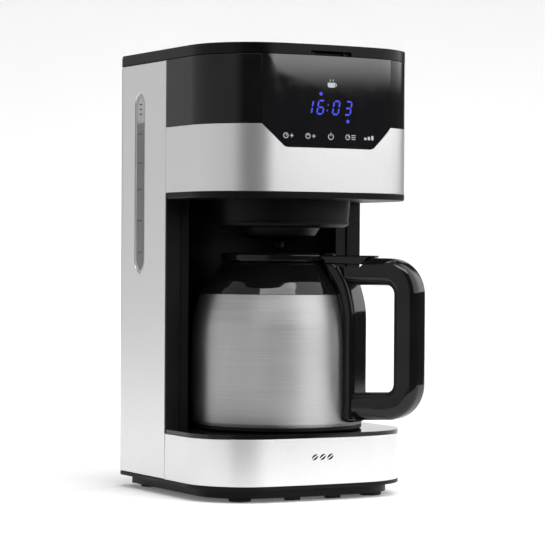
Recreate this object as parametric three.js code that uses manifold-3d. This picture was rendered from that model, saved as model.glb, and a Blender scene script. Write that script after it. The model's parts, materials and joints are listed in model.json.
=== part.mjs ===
// Drip coffee maker with a steel vacuum jug. Millimetres, +Z up, the front faces -Y.
// Drawn with Y = 0 at the head's front corners and Z = 0 on the table, then moved so that
// the middle of its footprint is the origin.
import * as THREE from "three";
import { mergeVertices } from "three/addons/utils/BufferGeometryUtils.js";
import Module from "manifold-3d";

const wasm = await Module();
wasm.setup();

// ---- driving dimensions ----
const WIDTH = 189;
const DEPTH = 194.5;
const HEIGHT = 360;
const HALF = WIDTH / 2;
const HEAD_CORNER = 55;
const BASE_CORNER = 52;
const REAR_CORNER = 15;
const HEAD_BOW = 2.75; // the front face bulges forward this much
const BASE_BOW = 1.7;
const BASE_FRONT = 9; // the base's front stands this far behind the head's
const BASE_SIDE = 0.3;
const GAP = 0.3; // between pieces that touch
const SKIN = 2.4; // wall of the outer shells

const SEAM_LEFT = 99.5; // Y where the side panel meets the head
const SEAM_RIGHT = 112;
const FOOT_TOP = 2.6;
const TUB_TOP = 10;
const BASE_LOW = 13;
const BASE_TOP = 50.1;
const DECK_TOP = 53.5; // the jug stands here
const HEAD_LOW = 239;
const BAND_LOW = 244;
const BAND_TOP = 296.8;
const LID_LOW = 351.4;
const LID_CHAMFER = 1.7;

const LENS_HALF = 58.7; // half width of the front lens
const LENS_DIP_HALF = 39.7;
const LENS_DIP_LOW = 279;
const LENS_GAP = 0.25;

const BREW_Y = 79; // axis of the brew tub
const JUG_Y = 82; // axis of the jug and of the bay behind it
const BAY_RADIUS = 76;
const BAY_WALL = 2.5;

const LID_AXIS_Y = 178.5;
const LID_AXIS_Z = 355.8;
const LID_KNUCKLE = 4.2;

const TANK = { x0: -89.5, x1: 64, y0: 138, y1: 190.5, z0: 172, z1: 338, wall: 2 };
const GAUGE = { y: 148, half: 9.5, z0: 178.6, z1: 327.5 };

const HANDLE_ANGLE = THREE.MathUtils.degToRad(-62); // the handle points to the front right
const JUG_LIP = 163; // top of the steel body

// ---- solids ----

// A closed geometry as a manifold solid, turned to face out.
function solid(geometry) {
  const bare = new THREE.BufferGeometry();
  const flat = geometry.index ? geometry.toNonIndexed() : geometry;
  bare.setAttribute("position", flat.getAttribute("position"));
  const merged = mergeVertices(bare, 1e-4);
  const at = merged.attributes.position.array;
  const corners = merged.index.array;
  const kept = [];
  let volume = 0;
  const [a, b, c] = [new THREE.Vector3(), new THREE.Vector3(), new THREE.Vector3()];
  for (let i = 0; i < corners.length; i += 3) {
    const [p, q, r] = [corners[i], corners[i + 1], corners[i + 2]];
    if (p === q || q === r || r === p) continue;
    kept.push(p, q, r);
    volume += a.fromArray(at, 3 * p).dot(b.fromArray(at, 3 * q).cross(c.fromArray(at, 3 * r)));
  }
  if (volume < 0) kept.reverse();
  const mesh = { numProp: 3, vertProperties: at, triVerts: new Uint32Array(kept) };
  return new wasm.Manifold(new wasm.Mesh(mesh));
}

// A manifold solid as a flat-shaded geometry.
function geometryOf(body) {
  const { vertProperties, triVerts, numProp } = body.getMesh();
  const shared = new THREE.BufferGeometry();
  const points = new THREE.BufferAttribute(vertProperties.slice(), numProp);
  shared.setAttribute("position", points).setIndex(new THREE.BufferAttribute(triVerts.slice(), 1));
  const flat = shared.toNonIndexed();
  flat.computeVertexNormals();
  return flat;
}

const union = (...bodies) => bodies.reduce((sum, body) => sum.add(body));
const cut = (body, ...tools) => tools.reduce((rest, tool) => rest.subtract(tool), body);

function box(x0, x1, y0, y1, z0, z1) {
  const geometry = new THREE.BoxGeometry(x1 - x0, y1 - y0, z1 - z0);
  return solid(geometry.translate((x0 + x1) / 2, (y0 + y1) / 2, (z0 + z1) / 2));
}

// A solid of revolution about a vertical axis; its profile is [radius, z] pairs.
function lathe(profile, y = 0, segments = 32, x = 0) {
  const points = profile.map(([r, z]) => new THREE.Vector2(r, z));
  const geometry = new THREE.LatheGeometry(points, segments);
  return solid(geometry.rotateX(Math.PI / 2).translate(x, y, 0));
}

function disc(radius, z0, z1, x = 0, y = 0, segments = 32) {
  return lathe([[0, z0], [radius, z0], [radius, z1], [0, z1]], y, segments, x);
}

function ring(inner, outer, z0, z1, y = 0, segments = 32, x = 0) {
  return lathe([[inner, z0], [outer, z0], [outer, z1], [inner, z1], [inner, z0]], y, segments, x);
}

// A round bar along X.
function barX(radius, x0, x1, y, z, segments = 20) {
  const geometry = new THREE.CylinderGeometry(radius, radius, x1 - x0, segments);
  return solid(geometry.rotateZ(Math.PI / 2).translate((x0 + x1) / 2, y, z));
}

// A round bar along Y.
function barY(radius, y0, y1, x, z, segments = 20) {
  const geometry = new THREE.CylinderGeometry(radius, radius, y1 - y0, segments);
  return solid(geometry.translate(x, (y0 + y1) / 2, z));
}

function prism(shape, z0, z1, curveSegments = 12) {
  const options = { depth: z1 - z0, bevelEnabled: false, curveSegments };
  return solid(new THREE.ExtrudeGeometry(shape, options).translate(0, 0, z0));
}

// A shape drawn in X and Z, extruded along Y.
function prismY(shape, y0, y1, curveSegments = 8) {
  const options = { depth: y1 - y0, bevelEnabled: false, curveSegments };
  const geometry = new THREE.ExtrudeGeometry(shape, options);
  return solid(geometry.rotateX(Math.PI / 2).translate(0, y1, 0));
}

function polygon(points) {
  return new THREE.Shape(points.map(([x, y]) => new THREE.Vector2(x, y)));
}

// A round tube through the given points.
function tube(points, radius, steps, sides = 8, tension = 0.35) {
  const curve = new THREE.CatmullRomCurve3(
    points.map((p) => new THREE.Vector3(...p)), false, "catmullrom", tension);
  const section = new THREE.Shape();
  for (let i = 0; i < sides; i++) {
    const angle = (2 * Math.PI * i) / sides;
    const to = [radius * Math.cos(angle), radius * Math.sin(angle)];
    if (i === 0) section.moveTo(...to);
    else section.lineTo(...to);
  }
  return solid(new THREE.ExtrudeGeometry(section, { steps, extrudePath: curve }));
}

// ---- plan of the machine ----

const HEAD_PLAN = { half: HALF, front: 0, corner: HEAD_CORNER, bow: HEAD_BOW };
const BASE_PLAN = { half: HALF - BASE_SIDE, front: BASE_FRONT, corner: BASE_CORNER, bow: BASE_BOW };

function addArc(points, x, y, radius, from, to, steps) {
  for (let i = 0; i <= steps; i++) {
    const angle = from + ((to - from) * i) / steps;
    points.push([x + radius * Math.cos(angle), y + radius * Math.sin(angle)]);
  }
}

// The outline seen from above, drawn in by the inset: a rectangle with large front corners,
// small rear corners and a front edge that bows forward and meets its corners smoothly.
function planPoints(plan, inset) {
  const straight = plan.half - plan.corner;
  const bend = Math.asin(Math.min(1, straight / ((straight ** 2 + plan.bow ** 2) / (2 * plan.bow))));
  const corner = plan.corner - inset;
  const rear = Math.max(REAR_CORNER - inset, 1);
  const side = plan.half - inset;
  const cornerX = side - corner;
  const cornerY = plan.front + plan.corner;
  const rearY = DEPTH - inset - rear;
  const right = Math.PI * 1.5;
  const points = [];
  addArc(points, -cornerX, cornerY, corner, Math.PI, right - bend, 7);
  const [startX, startY] = points[points.length - 1];
  const bowRadius = -startX / Math.sin(bend);
  for (let i = 1; i < 6; i++) {
    const x = startX + (-2 * startX * i) / 6;
    points.push([x, startY - Math.sqrt(bowRadius ** 2 - x ** 2) + bowRadius * Math.cos(bend)]);
  }
  addArc(points, cornerX, cornerY, corner, right + bend, 2 * Math.PI, 7);
  addArc(points, side - rear, rearY, rear, 0, Math.PI / 2, 4);
  addArc(points, rear - side, rearY, rear, Math.PI / 2, Math.PI, 4);
  return points;
}

// A solid of the plan between two heights.
function planSolid(plan, inset, z0, z1) {
  return prism(polygon(planPoints(plan, inset)), z0, z1);
}

// Layers of the plan, each [inset, z], joined into one closed solid.
function planLoft(plan, layers) {
  const rows = layers.map(([inset, z]) => planPoints(plan, inset).map(([x, y]) => [x, y, z]));
  const count = rows[0].length;
  const positions = [];
  for (let k = 0; k + 1 < rows.length; k++)
    for (let i = 0; i < count; i++) {
      const j = (i + 1) % count;
      positions.push(...rows[k][i], ...rows[k][j], ...rows[k + 1][j]);
      positions.push(...rows[k][i], ...rows[k + 1][j], ...rows[k + 1][i]);
    }
  const outline = rows[0].map(([x, y]) => new THREE.Vector2(x, y));
  const top = rows[rows.length - 1];
  for (const [a, b, c] of THREE.ShapeUtils.triangulateShape(outline, [])) {
    positions.push(...rows[0][c], ...rows[0][b], ...rows[0][a]);
    positions.push(...top[a], ...top[b], ...top[c]);
  }
  const geometry = new THREE.BufferGeometry();
  geometry.setAttribute("position", new THREE.Float32BufferAttribute(positions, 3));
  return solid(geometry);
}

function planWall(plan, inset, wall, z0, z1) {
  return cut(planSolid(plan, inset, z0, z1), planSolid(plan, inset + wall, z0 - 1, z1 + 1));
}

// Everything in front of the two seams, or behind them.
function beforeSeams(shift = 0) {
  return union(
    box(-HALF - 9, 0.01, -20, SEAM_LEFT + shift, -1, HEIGHT + 1),
    box(0, HALF + 9, -20, SEAM_RIGHT + shift, -1, HEIGHT + 1));
}

// ---- materials ----
const finish = (color, roughness, metalness = 0) => ({ color, roughness, metalness });
const SILVER = finish("#c6c8ca", 0.38, 0.55);
const GLOSS_BLACK = finish("#0a0a0b", 0.12);
const MATTE_BLACK = finish("#121213", 0.55);
const STEEL = finish("#b4b5b4", 0.3, 1);
const CLEAR = finish("#a9adb0", 0.15);
const RUBBER = finish("#1b1b1c", 0.9);
const SILICONE = finish("#d8d4cc", 0.7);
const ALUMINIUM = finish("#9fa2a5", 0.45, 1);
const BOARD = finish("#23502f", 0.6);
const BLUE = finish("#2f46e0", 0.4);

// ---- assembly ----

const machine = new THREE.Group();
const fixed = new THREE.Group();
const topLid = new THREE.Group();
const jug = new THREE.Group();
machine.add(fixed, topLid, jug);

function part(name, body, look, group = fixed) {
  const mesh = new THREE.Mesh(geometryOf(body), new THREE.MeshStandardMaterial(look));
  mesh.name = name;
  group.add(mesh);
}

// ---- base ----

const BASE_FLOOR = 2.7;
const BASE_WALL_INSET = SKIN + 0.6;
const PLATE_INSET = 10;
const FOOT_RADIUS = 9;
const FOOT_PLACES = {
  front_left: [-60, 34],
  front_right: [60, 34],
  rear_left: [-70, 172],
  rear_right: [70, 172],
};
const BASE_SCREWS = { xs: [-40, 40], y: 100 };
const BASE_VENTS = { xs: [-24, -12, 0, 12, 24], half: 2, y0: 80, y1: 120 };

function deckOutline(low, high, plan) {
  const front = planSolid(plan, 0, low, high).intersect(beforeSeams(-BAY_WALL - GAP));
  return union(front, disc(BAY_RADIUS - GAP, low, high, 0, JUG_Y, 48));
}

function makeBase() {
  const floor = planSolid(BASE_PLAN, 0, TUB_TOP, TUB_TOP + BASE_FLOOR);
  const wall = planWall(BASE_PLAN, BASE_WALL_INSET, 2.2, TUB_TOP + 1, BASE_TOP);
  part("base_shell", union(floor, wall), MATTE_BLACK);

  const band = planWall(BASE_PLAN, 0, SKIN, BASE_LOW, BASE_TOP);
  part("base_band", band.intersect(beforeSeams(-GAP)), SILVER);
  part("jug_platform", deckOutline(BASE_TOP + GAP, DECK_TOP, BASE_PLAN), GLOSS_BLACK);

  const plate = planSolid(BASE_PLAN, PLATE_INSET, FOOT_TOP + GAP, TUB_TOP - GAP);
  const { half, y0, y1 } = BASE_VENTS;
  const vents = BASE_VENTS.xs.map((x) => box(x - half, x + half, y0, y1, 0, TUB_TOP));
  const holes = BASE_SCREWS.xs.map((x) => disc(2.3, 0, TUB_TOP, x, BASE_SCREWS.y, 12));
  part("bottom_plate", cut(plate, ...vents, ...holes), MATTE_BLACK);
  BASE_SCREWS.xs.forEach((x, i) => {
    const head = disc(4, FOOT_TOP - 2, FOOT_TOP, x, BASE_SCREWS.y, 16);
    const shank = disc(2, FOOT_TOP - 1, TUB_TOP - GAP, x, BASE_SCREWS.y, 12);
    part(`bottom_screw_${i + 1}`, union(head, shank), STEEL);
  });
  for (const [place, [x, y]] of Object.entries(FOOT_PLACES)) {
    const profile = [[0, 0], [FOOT_RADIUS - 1, 0], [FOOT_RADIUS, 1], [FOOT_RADIUS, FOOT_TOP], [0, FOOT_TOP]];
    part(`foot_${place}`, lathe(profile, y, 24, x), RUBBER);
  }
}

// ---- column ----

function makeBayWall() {
  const low = BASE_TOP + GAP;
  const high = BAND_LOW - GAP;
  const front = beforeSeams(-BAY_WALL + 0.1);
  const arc = cut(ring(BAY_RADIUS, BAY_RADIUS + BAY_WALL, low, high, JUG_Y, 48), front);
  const left = box(-HALF, -BAY_RADIUS + 1, SEAM_LEFT - BAY_WALL, SEAM_LEFT - GAP, low, high);
  const right = box(BAY_RADIUS - 6, HALF, SEAM_RIGHT - BAY_WALL, SEAM_RIGHT - GAP, low, high);
  const bore = disc(BAY_RADIUS, low - 1, high + 1, 0, JUG_Y, 48);
  part("bay_wall", union(arc, cut(union(left, right), bore)), MATTE_BLACK);
}

// The slot for the gauge: straight sides, a pointed arch at the top and at the bottom.
function gaugeShape(grow) {
  const half = GAUGE.half + grow;
  const [z0, z1] = [GAUGE.z0 - grow, GAUGE.z1 + grow];
  const arch = 11;
  const bend = arch / 3;
  const shape = new THREE.Shape();
  shape.moveTo(-half, z0 + arch);
  shape.quadraticCurveTo(-half, z0 + bend, 0, z0);
  shape.quadraticCurveTo(half, z0 + bend, half, z0 + arch);
  shape.lineTo(half, z1 - arch);
  shape.quadraticCurveTo(half, z1 - bend, 0, z1);
  shape.quadraticCurveTo(-half, z1 - bend, -half, z1 - arch);
  return shape;
}

function gaugePrism(grow, x0, x1) {
  const options = { depth: x1 - x0, bevelEnabled: false, curveSegments: 6 };
  const geometry = new THREE.ExtrudeGeometry(gaugeShape(grow), options);
  const turn = new THREE.Matrix4().makeBasis(
    new THREE.Vector3(0, 1, 0), new THREE.Vector3(0, 0, 1), new THREE.Vector3(1, 0, 0));
  return solid(geometry.applyMatrix4(turn).translate(x0, GAUGE.y, 0));
}

const REAR_EDGE = HALF - REAR_CORNER - 1;
const GLAND = { x: 58, z: 72 };

function makeColumn() {
  const low = BASE_LOW + GAP;
  const high = LID_LOW - GAP;
  const wall = planWall(HEAD_PLAN, 0, SKIN, low, high);
  const rear = cut(wall, beforeSeams());
  const left = rear.intersect(box(-HALF - 9, -REAR_EDGE - GAP / 2, 0, DEPTH + 9, 0, HEIGHT));
  const right = rear.intersect(box(REAR_EDGE + GAP / 2, HALF + 9, 0, DEPTH + 9, 0, HEIGHT));
  part("left_side_panel", cut(left, gaugePrism(0, -HALF - 5, -HALF + 5)), SILVER);
  part("right_side_panel", right, SILVER);
  part("gauge_window", gaugePrism(-GAP, -HALF + 0.4, TANK.x0 - GAP), CLEAR);

  const cover = box(-REAR_EDGE + GAP / 2, REAR_EDGE - GAP / 2, DEPTH - SKIN, DEPTH, low, high);
  const vents = [];
  for (let z = 250; z <= 306; z += 8) vents.push(box(-30, 30, DEPTH - 9, DEPTH + 9, z, z + 3));
  const gland = barY(6.3, DEPTH - 9, DEPTH + 9, GLAND.x, GLAND.z, 20);
  const screwPlaces = [[-68, 343], [68, 343]];
  const holes = screwPlaces.map(([x, z]) => barY(1.9, DEPTH - 9, DEPTH + 9, x, z, 12));
  part("rear_cover", cut(cover, ...vents, gland, ...holes), MATTE_BLACK);
  screwPlaces.forEach(([x, z], i) => {
    const head = barY(3.6, DEPTH + GAP / 2, DEPTH + 2, x, z, 16);
    part(`rear_screw_${i + 1}`, union(head, barY(1.6, DEPTH - 8, DEPTH + 1, x, z, 12)), STEEL);
  });
  const collar = barY(8.5, DEPTH + GAP, DEPTH + 2.5, GLAND.x, GLAND.z, 20);
  const sleeve = union(collar, barY(6, DEPTH - 6, DEPTH + 1, GLAND.x, GLAND.z, 20));
  part("cord_gland", cut(sleeve, barY(3.6, DEPTH - 9, DEPTH + 9, GLAND.x, GLAND.z, 16)), RUBBER);
}

// ---- head ----

// The lens: straight sides down to the band, then a dip with slanted sides into it.
function lensPrism(grow) {
  const side = LENS_HALF + grow;
  const dip = LENS_DIP_HALF + grow;
  const shoulder = BAND_TOP + LENS_GAP - grow;
  const low = LENS_DIP_LOW - grow;
  const soft = 4;
  const slope = (side - dip) / (shoulder - low);
  const shape = new THREE.Shape();
  shape.moveTo(-side, HEIGHT + 9);
  shape.lineTo(-side, shoulder);
  shape.lineTo(-dip - soft * slope, low + soft);
  shape.quadraticCurveTo(-dip, low, -dip + soft, low);
  shape.lineTo(dip - soft, low);
  shape.quadraticCurveTo(dip, low, dip + soft * slope, low + soft);
  shape.lineTo(side, shoulder);
  shape.lineTo(side, HEIGHT + 9);
  return prismY(shape, -20, 40, 4);
}

const INNER = SKIN + 0.5; // inset of what stands inside the outer shells

function makeHead() {
  const high = LID_LOW - GAP;
  const front = beforeSeams(-GAP);
  const opening = lensPrism(LENS_GAP);
  const silver = planWall(HEAD_PLAN, 0, SKIN, BAND_LOW + GAP, BAND_TOP).intersect(front);
  const black = planWall(HEAD_PLAN, 0, SKIN, BAND_TOP + GAP, high).intersect(front);
  const lens = planWall(HEAD_PLAN, 0, SKIN, LENS_DIP_LOW, high).intersect(lensPrism(0));
  part("head_band", cut(silver, opening), SILVER);
  const panels = cut(black, opening);
  part("upper_panel_left", panels.intersect(box(-HALF - 9, 0, -20, DEPTH, 0, HEIGHT)), GLOSS_BLACK);
  part("upper_panel_right", panels.intersect(box(0, HALF + 9, -20, DEPTH, 0, HEIGHT)), GLOSS_BLACK);
  part("front_lens", lens, GLOSS_BLACK);

  const floor = deckOutline(HEAD_LOW, BAND_LOW, HEAD_PLAN);
  const tubHole = disc(TUB_RADIUS + 2 * GAP, HEAD_LOW - 1, BAND_LOW + 1, 0, BREW_Y);
  part("head_floor", cut(floor, tubHole), MATTE_BLACK);

  const frame = planWall(HEAD_PLAN, INNER, 2, BAND_LOW + GAP, TOP_DECK.z0 - GAP).intersect(beforeSeams(-4));
  part("head_frame", cut(frame, box(-44, 44, -20, 20, 280, 346)), MATTE_BLACK);

  const deck = planSolid(HEAD_PLAN, INNER, TOP_DECK.z0, TOP_DECK.z1).intersect(
    box(-HALF, HALF, -9, DEPTH - SKIN - 1, 0, HEIGHT));
  const mouth = tankSolid(TANK.wall + 1, TOP_DECK.z0 - 1, TOP_DECK.z1 + 1).intersect(
    box(-HALF, HALF, 0, 176, 0, HEIGHT));
  part("top_deck", cut(deck, mouth, disc(57, 0, HEIGHT, 0, BREW_Y)), MATTE_BLACK);
}

const TOP_DECK = { z0: 347, z1: 350.6 };
const LUG = { x0: 62, x1: 70 };
const PIN_RADIUS = 1.2;
const PIN_HOLE = 1.5;
const STRIP_FRONT = LID_AXIS_Y + LID_KNUCKLE + 0.8;

function bothSides(make) {
  return union(make(1), make(-1));
}

const spanX = (sign, x0, x1) => (sign > 0 ? [x0, x1] : [-x1, -x0]);

function makeTopStrip() {
  const layers = [[0, LID_LOW], [0, HEIGHT - LID_CHAMFER], [LID_CHAMFER, HEIGHT]];
  const strip = planLoft(HEAD_PLAN, layers).intersect(box(-HALF, HALF, STRIP_FRONT, DEPTH, 0, HEIGHT));
  const lugs = bothSides((sign) => {
    const [x0, x1] = spanX(sign, LUG.x0, LUG.x1);
    const arm = box(x0, x1, LID_AXIS_Y, STRIP_FRONT + 1, LID_LOW + 0.6, LID_AXIS_Z + 2);
    return union(barX(LID_KNUCKLE - 0.4, x0, x1, LID_AXIS_Y, LID_AXIS_Z), arm);
  });
  const chamfer = prismAlongX([
    [STRIP_FRONT - 1, HEIGHT - 4], [STRIP_FRONT + 4, HEIGHT + 1], [STRIP_FRONT - 1, HEIGHT + 1]]);
  const bore = barX(PIN_HOLE, -HALF, HALF, LID_AXIS_Y, LID_AXIS_Z, 16);
  part("top_rear_strip", cut(union(cut(strip, chamfer), lugs), bore), GLOSS_BLACK);
  for (const [side, sign] of [["left", -1], ["right", 1]]) {
    const [x0, x1] = spanX(sign, LUG.x0 - 5, LUG.x1 + 5);
    part(`lid_hinge_pin_${side}`, barX(PIN_RADIUS, x0, x1, LID_AXIS_Y, LID_AXIS_Z, 12), STEEL);
  }
}

// A polygon of [y, z] pairs, extruded across the whole width.
function prismAlongX(points) {
  const shape = polygon(points);
  const geometry = new THREE.ExtrudeGeometry(shape, { depth: WIDTH + 20, bevelEnabled: false });
  const turn = new THREE.Matrix4().makeBasis(
    new THREE.Vector3(0, 1, 0), new THREE.Vector3(0, 0, 1), new THREE.Vector3(1, 0, 0));
  return solid(geometry.applyMatrix4(turn).translate(-HALF - 10, 0, 0));
}

const NOTCH = { low: 18.5, high: 15.5, rise: 3.4 }; // the finger notch's half widths and height
const LID_ROOF = 2.6;

function makeTopLid() {
  const layers = [[0, LID_LOW + GAP], [0, HEIGHT - LID_CHAMFER], [LID_CHAMFER, HEIGHT]];
  const slab = planLoft(HEAD_PLAN, layers).intersect(box(-HALF, HALF, -9, LID_AXIS_Y, 0, HEIGHT));
  const edge = barX(LID_KNUCKLE, -HALF + 0.4, HALF - 0.4, LID_AXIS_Y, LID_AXIS_Z, 20);
  const roof = HEIGHT - LID_ROOF;
  const pocket = planSolid(HEAD_PLAN, 4, LID_LOW - 1, roof).intersect(box(-HALF, HALF, -9, 172, 0, roof));
  const slots = bothSides((sign) => {
    const [x0, x1] = spanX(sign, LUG.x0 - GAP, LUG.x1 + GAP);
    return box(x0, x1, LID_AXIS_Y - 5.5, DEPTH, 0, HEIGHT + 1);
  });
  const bore = bothSides((sign) => {
    const [x0, x1] = spanX(sign, LUG.x0 - 6, LUG.x1 + 6);
    return barX(PIN_HOLE, x0, x1, LID_AXIS_Y, LID_AXIS_Z, 16);
  });
  const notchTop = LID_LOW + NOTCH.rise;
  const notchShape = polygon([
    [-NOTCH.low, 340], [NOTCH.low, 340], [NOTCH.high, notchTop], [-NOTCH.high, notchTop]]);
  const notch = prismY(notchShape, -9, 3);
  part("top_lid", cut(union(slab, edge), pocket, slots, bore, notch), GLOSS_BLACK, topLid);

  const sheet = planSolid(HEAD_PLAN, 4.6, LID_LOW + GAP, LID_LOW + 2.4);
  const liner = sheet.intersect(box(-HALF, HALF, -9, 171, 0, HEIGHT));
  const rim = ring(50, 53, LID_LOW + 2, HEIGHT - 3, BREW_Y);
  part("lid_liner", union(cut(liner, notch), rim), MATTE_BLACK, topLid);
}

// ---- brewing ----

const TUB_RADIUS = 57.8;
const TUB_FOOT = 55.4;
const TUB_LOW = 217;
const TUB_TOP_Z = 262;
const VALVE_HOLE = 5;

function makeBrewing() {
  const bowl = lathe([
    [0, TUB_LOW], [TUB_FOOT - 3, TUB_LOW], [TUB_FOOT, TUB_LOW + 2], [TUB_RADIUS, HEAD_LOW + 5],
    [TUB_RADIUS, TUB_TOP_Z], [TUB_RADIUS - 2, TUB_TOP_Z], [TUB_RADIUS - 2, HEAD_LOW + 4],
    [TUB_FOOT - 3, TUB_LOW + 2.2], [0, TUB_LOW + 2.2]], BREW_Y);
  const flange = ring(TUB_RADIUS - 1, TUB_RADIUS + 6, BAND_LOW + GAP, BAND_LOW + 3, BREW_Y);
  const hole = disc(VALVE_HOLE, TUB_LOW - 1, TUB_LOW + 9, 0, JUG_Y, 20);
  part("brew_tub", cut(union(bowl, flange), hole), MATTE_BLACK);

  const funnel = lathe([
    [VALVE_HOLE, 208], [14, 206], [30, 210], [34, TUB_LOW - GAP], [VALVE_HOLE, TUB_LOW - GAP],
    [VALVE_HOLE, 208]], JUG_Y, 36);
  part("drip_funnel", funnel, MATTE_BLACK);

  const valve = lathe([
    [0, 199], [3, 199], [4.4, 201], [4.4, 221], [10, 221], [10, 223],
    [3, 223.5], [2.6, 229], [0, 229]], JUG_Y, 20);
  part("drip_valve", valve, SILICONE);
  part("valve_seal", ring(5.6, 9.4, TUB_LOW + 2.5, 220.7, JUG_Y, 24), RUBBER);

  const coil = [];
  const coilSteps = 40;
  for (let i = 0; i <= coilSteps; i++) {
    const turn = (2 * Math.PI * i) / 10;
    coil.push([6 * Math.cos(turn), JUG_Y + 6 * Math.sin(turn), 224.6 + (i / coilSteps) * 8.2]);
  }
  part("drip_spring", tube(coil, 0.6, coilSteps, 5), STEEL);
  const bridge = box(-20, 20, JUG_Y - 5, JUG_Y + 5, 234, 236);
  const posts = [-18, 18].map((x) => box(x - 2, x + 2, JUG_Y - 4, JUG_Y + 4, TUB_LOW + 2.5, 235));
  part("valve_bridge", cut(union(bridge, ...posts), disc(3.4, 230, 240, 0, JUG_Y, 16)), MATTE_BLACK);

  const basket = lathe([
    [6, 239], [34, 239], [51, 326], [56, 326], [56, 329],
    [49.4, 329], [32.6, 241], [6, 241], [6, 239]], BREW_Y, 28);
  part("filter_basket", basket, MATTE_BLACK);
  const bail = [];
  for (let i = 0; i <= 12; i++) {
    const angle = Math.PI + (Math.PI * i) / 12;
    bail.push([53 * Math.cos(angle), BREW_Y + 53 * Math.sin(angle), 331.6]);
  }
  part("basket_bail", tube(bail, 1.6, 20, 6, 0.5), MATTE_BLACK);
  const mesh = lathe([
    [0, 243], [29, 243], [45, 325], [47.5, 325], [47.5, 327],
    [43.6, 327], [28, 244.2], [0, 244.2]], BREW_Y, 28);
  part("permanent_filter", mesh, SILICONE);
  const head = union(ring(3, 15, 337.5, 340, 96, 24), disc(15, 339.5, 345.5, 0, 96, 24));
  part("spray_head", head, MATTE_BLACK);
}

// ---- water ----

// The tank fills the column behind the bay and reaches forward beside it, to the gauge.
function tankSolid(inset, z0, z1) {
  const block = box(TANK.x0 + inset, TANK.x1 - inset, TANK.y0 + inset, TANK.y1 - inset, z0, z1);
  const shell = planSolid(HEAD_PLAN, SKIN + 0.8 + inset, z0 - 1, z1 + 1);
  const bay = disc(BAY_RADIUS + BAY_WALL + GAP + inset, z0 - 1, z1 + 1, 0, JUG_Y, 48);
  return cut(block.intersect(shell), bay);
}

// The horseshoe heater under the platform: its two arms and the arch that joins them.
const HEATER = { y: 90, outer: 52, inner: 34, leg: 36, z0: 19, z1: 37 };

function makeWater() {
  const cavity = tankSolid(TANK.wall, TANK.z0 + TANK.wall, TANK.z1 + 1);
  const outlet = disc(4, 0, TANK.z1, -30, 176, 16);
  part("water_tank", cut(tankSolid(0, TANK.z0, TANK.z1), cavity, outlet), CLEAR);

  const spout = lathe([
    [2.6, 158], [4.6, 158], [4.6, 167], [8, 168], [8, TANK.z0 - GAP],
    [2.6, TANK.z0 - GAP], [2.6, 158]], 176, 16, -30);
  part("tank_outlet", spout, MATTE_BLACK);
  const hoseRoute = [
    [-30, 176, 157.6], [-30, 177, 120], [-34, 178, 60], [-42, 165, 31], [-42, 146, 28]];
  part("supply_hose", tube(hoseRoute, 4.4, 20), SILICONE);

  const { y, outer, inner, leg, z0, z1 } = HEATER;
  const arch = new THREE.Shape();
  arch.absarc(0, 0, outer, 0, Math.PI, true);
  arch.lineTo(-outer, leg);
  arch.lineTo(-inner, leg);
  arch.lineTo(-inner, 0);
  arch.absarc(0, 0, inner, Math.PI, 0, false);
  arch.lineTo(inner, leg);
  arch.lineTo(outer, leg);
  part("flow_heater", prism(arch, z0, z1, 16).translate([0, y + leg / 2, 0]), ALUMINIUM);
  const strap = box(-8, 8, y - 38, y - 12, z1 + 1, z1 + 3);
  part("heater_clamp", union(strap, box(-8, 8, y - 38, y - 35, 14, z1 + 2)), STEEL);
  const can = disc(9, z1 + 3.5, z1 + 9, 0, y - 25, 24);
  const ears = box(-11, 11, y - 28, y - 22, z1 + 3.5, z1 + 6);
  part("thermostat", union(can, ears), ALUMINIUM);
  part("riser_pipe", tube([[43, 146, 28], [48, 160, 30], [78, 178, 60], [78, 180, 200], [78, 178, 330],
    [74, 160, 342], [50, 118, 342.5], [19, 98, 342.5]], 3, 36, 6), SILICONE);
}

// ---- electronics ----

function makeElectronics() {
  part("control_board", box(-38, 38, 9.4, 11, 284, 342), BOARD);
  part("display_module", box(-21, 21, 4, 9, 299, 323), BLUE);
  part("touch_sensor", box(-40, 40, 4.4, 5.2, 282, 294), BOARD);
  part("power_board", box(50, 88, 186, 187.6, 64, 132), BOARD);
}

// ---- jug ----

const STEEL_PROFILE = [
  [68.6, 57.7], [70, 62.6], [70.9, 74], [70.9, 124], [70.1, 140], [68, 150], [64.5, JUG_LIP]];
const COLLAR_PROFILE = [
  [64.5, JUG_LIP + GAP], [62, 168], [58.3, 173.5], [49.5, 183.8], [45.4, 188.8]];

const grown = (profile, by) => profile.map(([r, z]) => [r + by, z]);

function makeJugBody() {
  const inside = grown(STEEL_PROFILE, -1.1).reverse();
  const wall = lathe([...STEEL_PROFILE, ...inside, STEEL_PROFILE[0]], 0, 36);
  part("jug_shell", wall, STEEL, jug);
  const foot = lathe([[0, 53.8], [67.6, 53.8], [69, 54.8], [69, 57.4], [0, 57.4]], 0, 36);
  part("jug_foot", foot, MATTE_BLACK, jug);
  const flask = lathe([
    [0, 60], [58, 60], [64, 67], [64, 138], [57, 150], [43, 159], [43, 170], [41.8, 170], [41.8, 158.4],
    [56.2, 149], [62.8, 137.6], [62.8, 67.5], [57.4, 61.2], [0, 61.2]], 0, 28);
  part("jug_flask", flask, STEEL, jug);
  const collar = lathe([
    ...COLLAR_PROFILE, [41, 188.8], [41, 170.3], [43.4, 170.3], [43.4, JUG_LIP + GAP],
    COLLAR_PROFILE[0]], 0, 36);
  part("jug_collar", collar, GLOSS_BLACK, jug);
}

const STRAP = { half: 12.5, outer: 79, low: 61 };
const GRIP = { half: 11, outer: 134, inner: 114, bevel: 5 };

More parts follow.
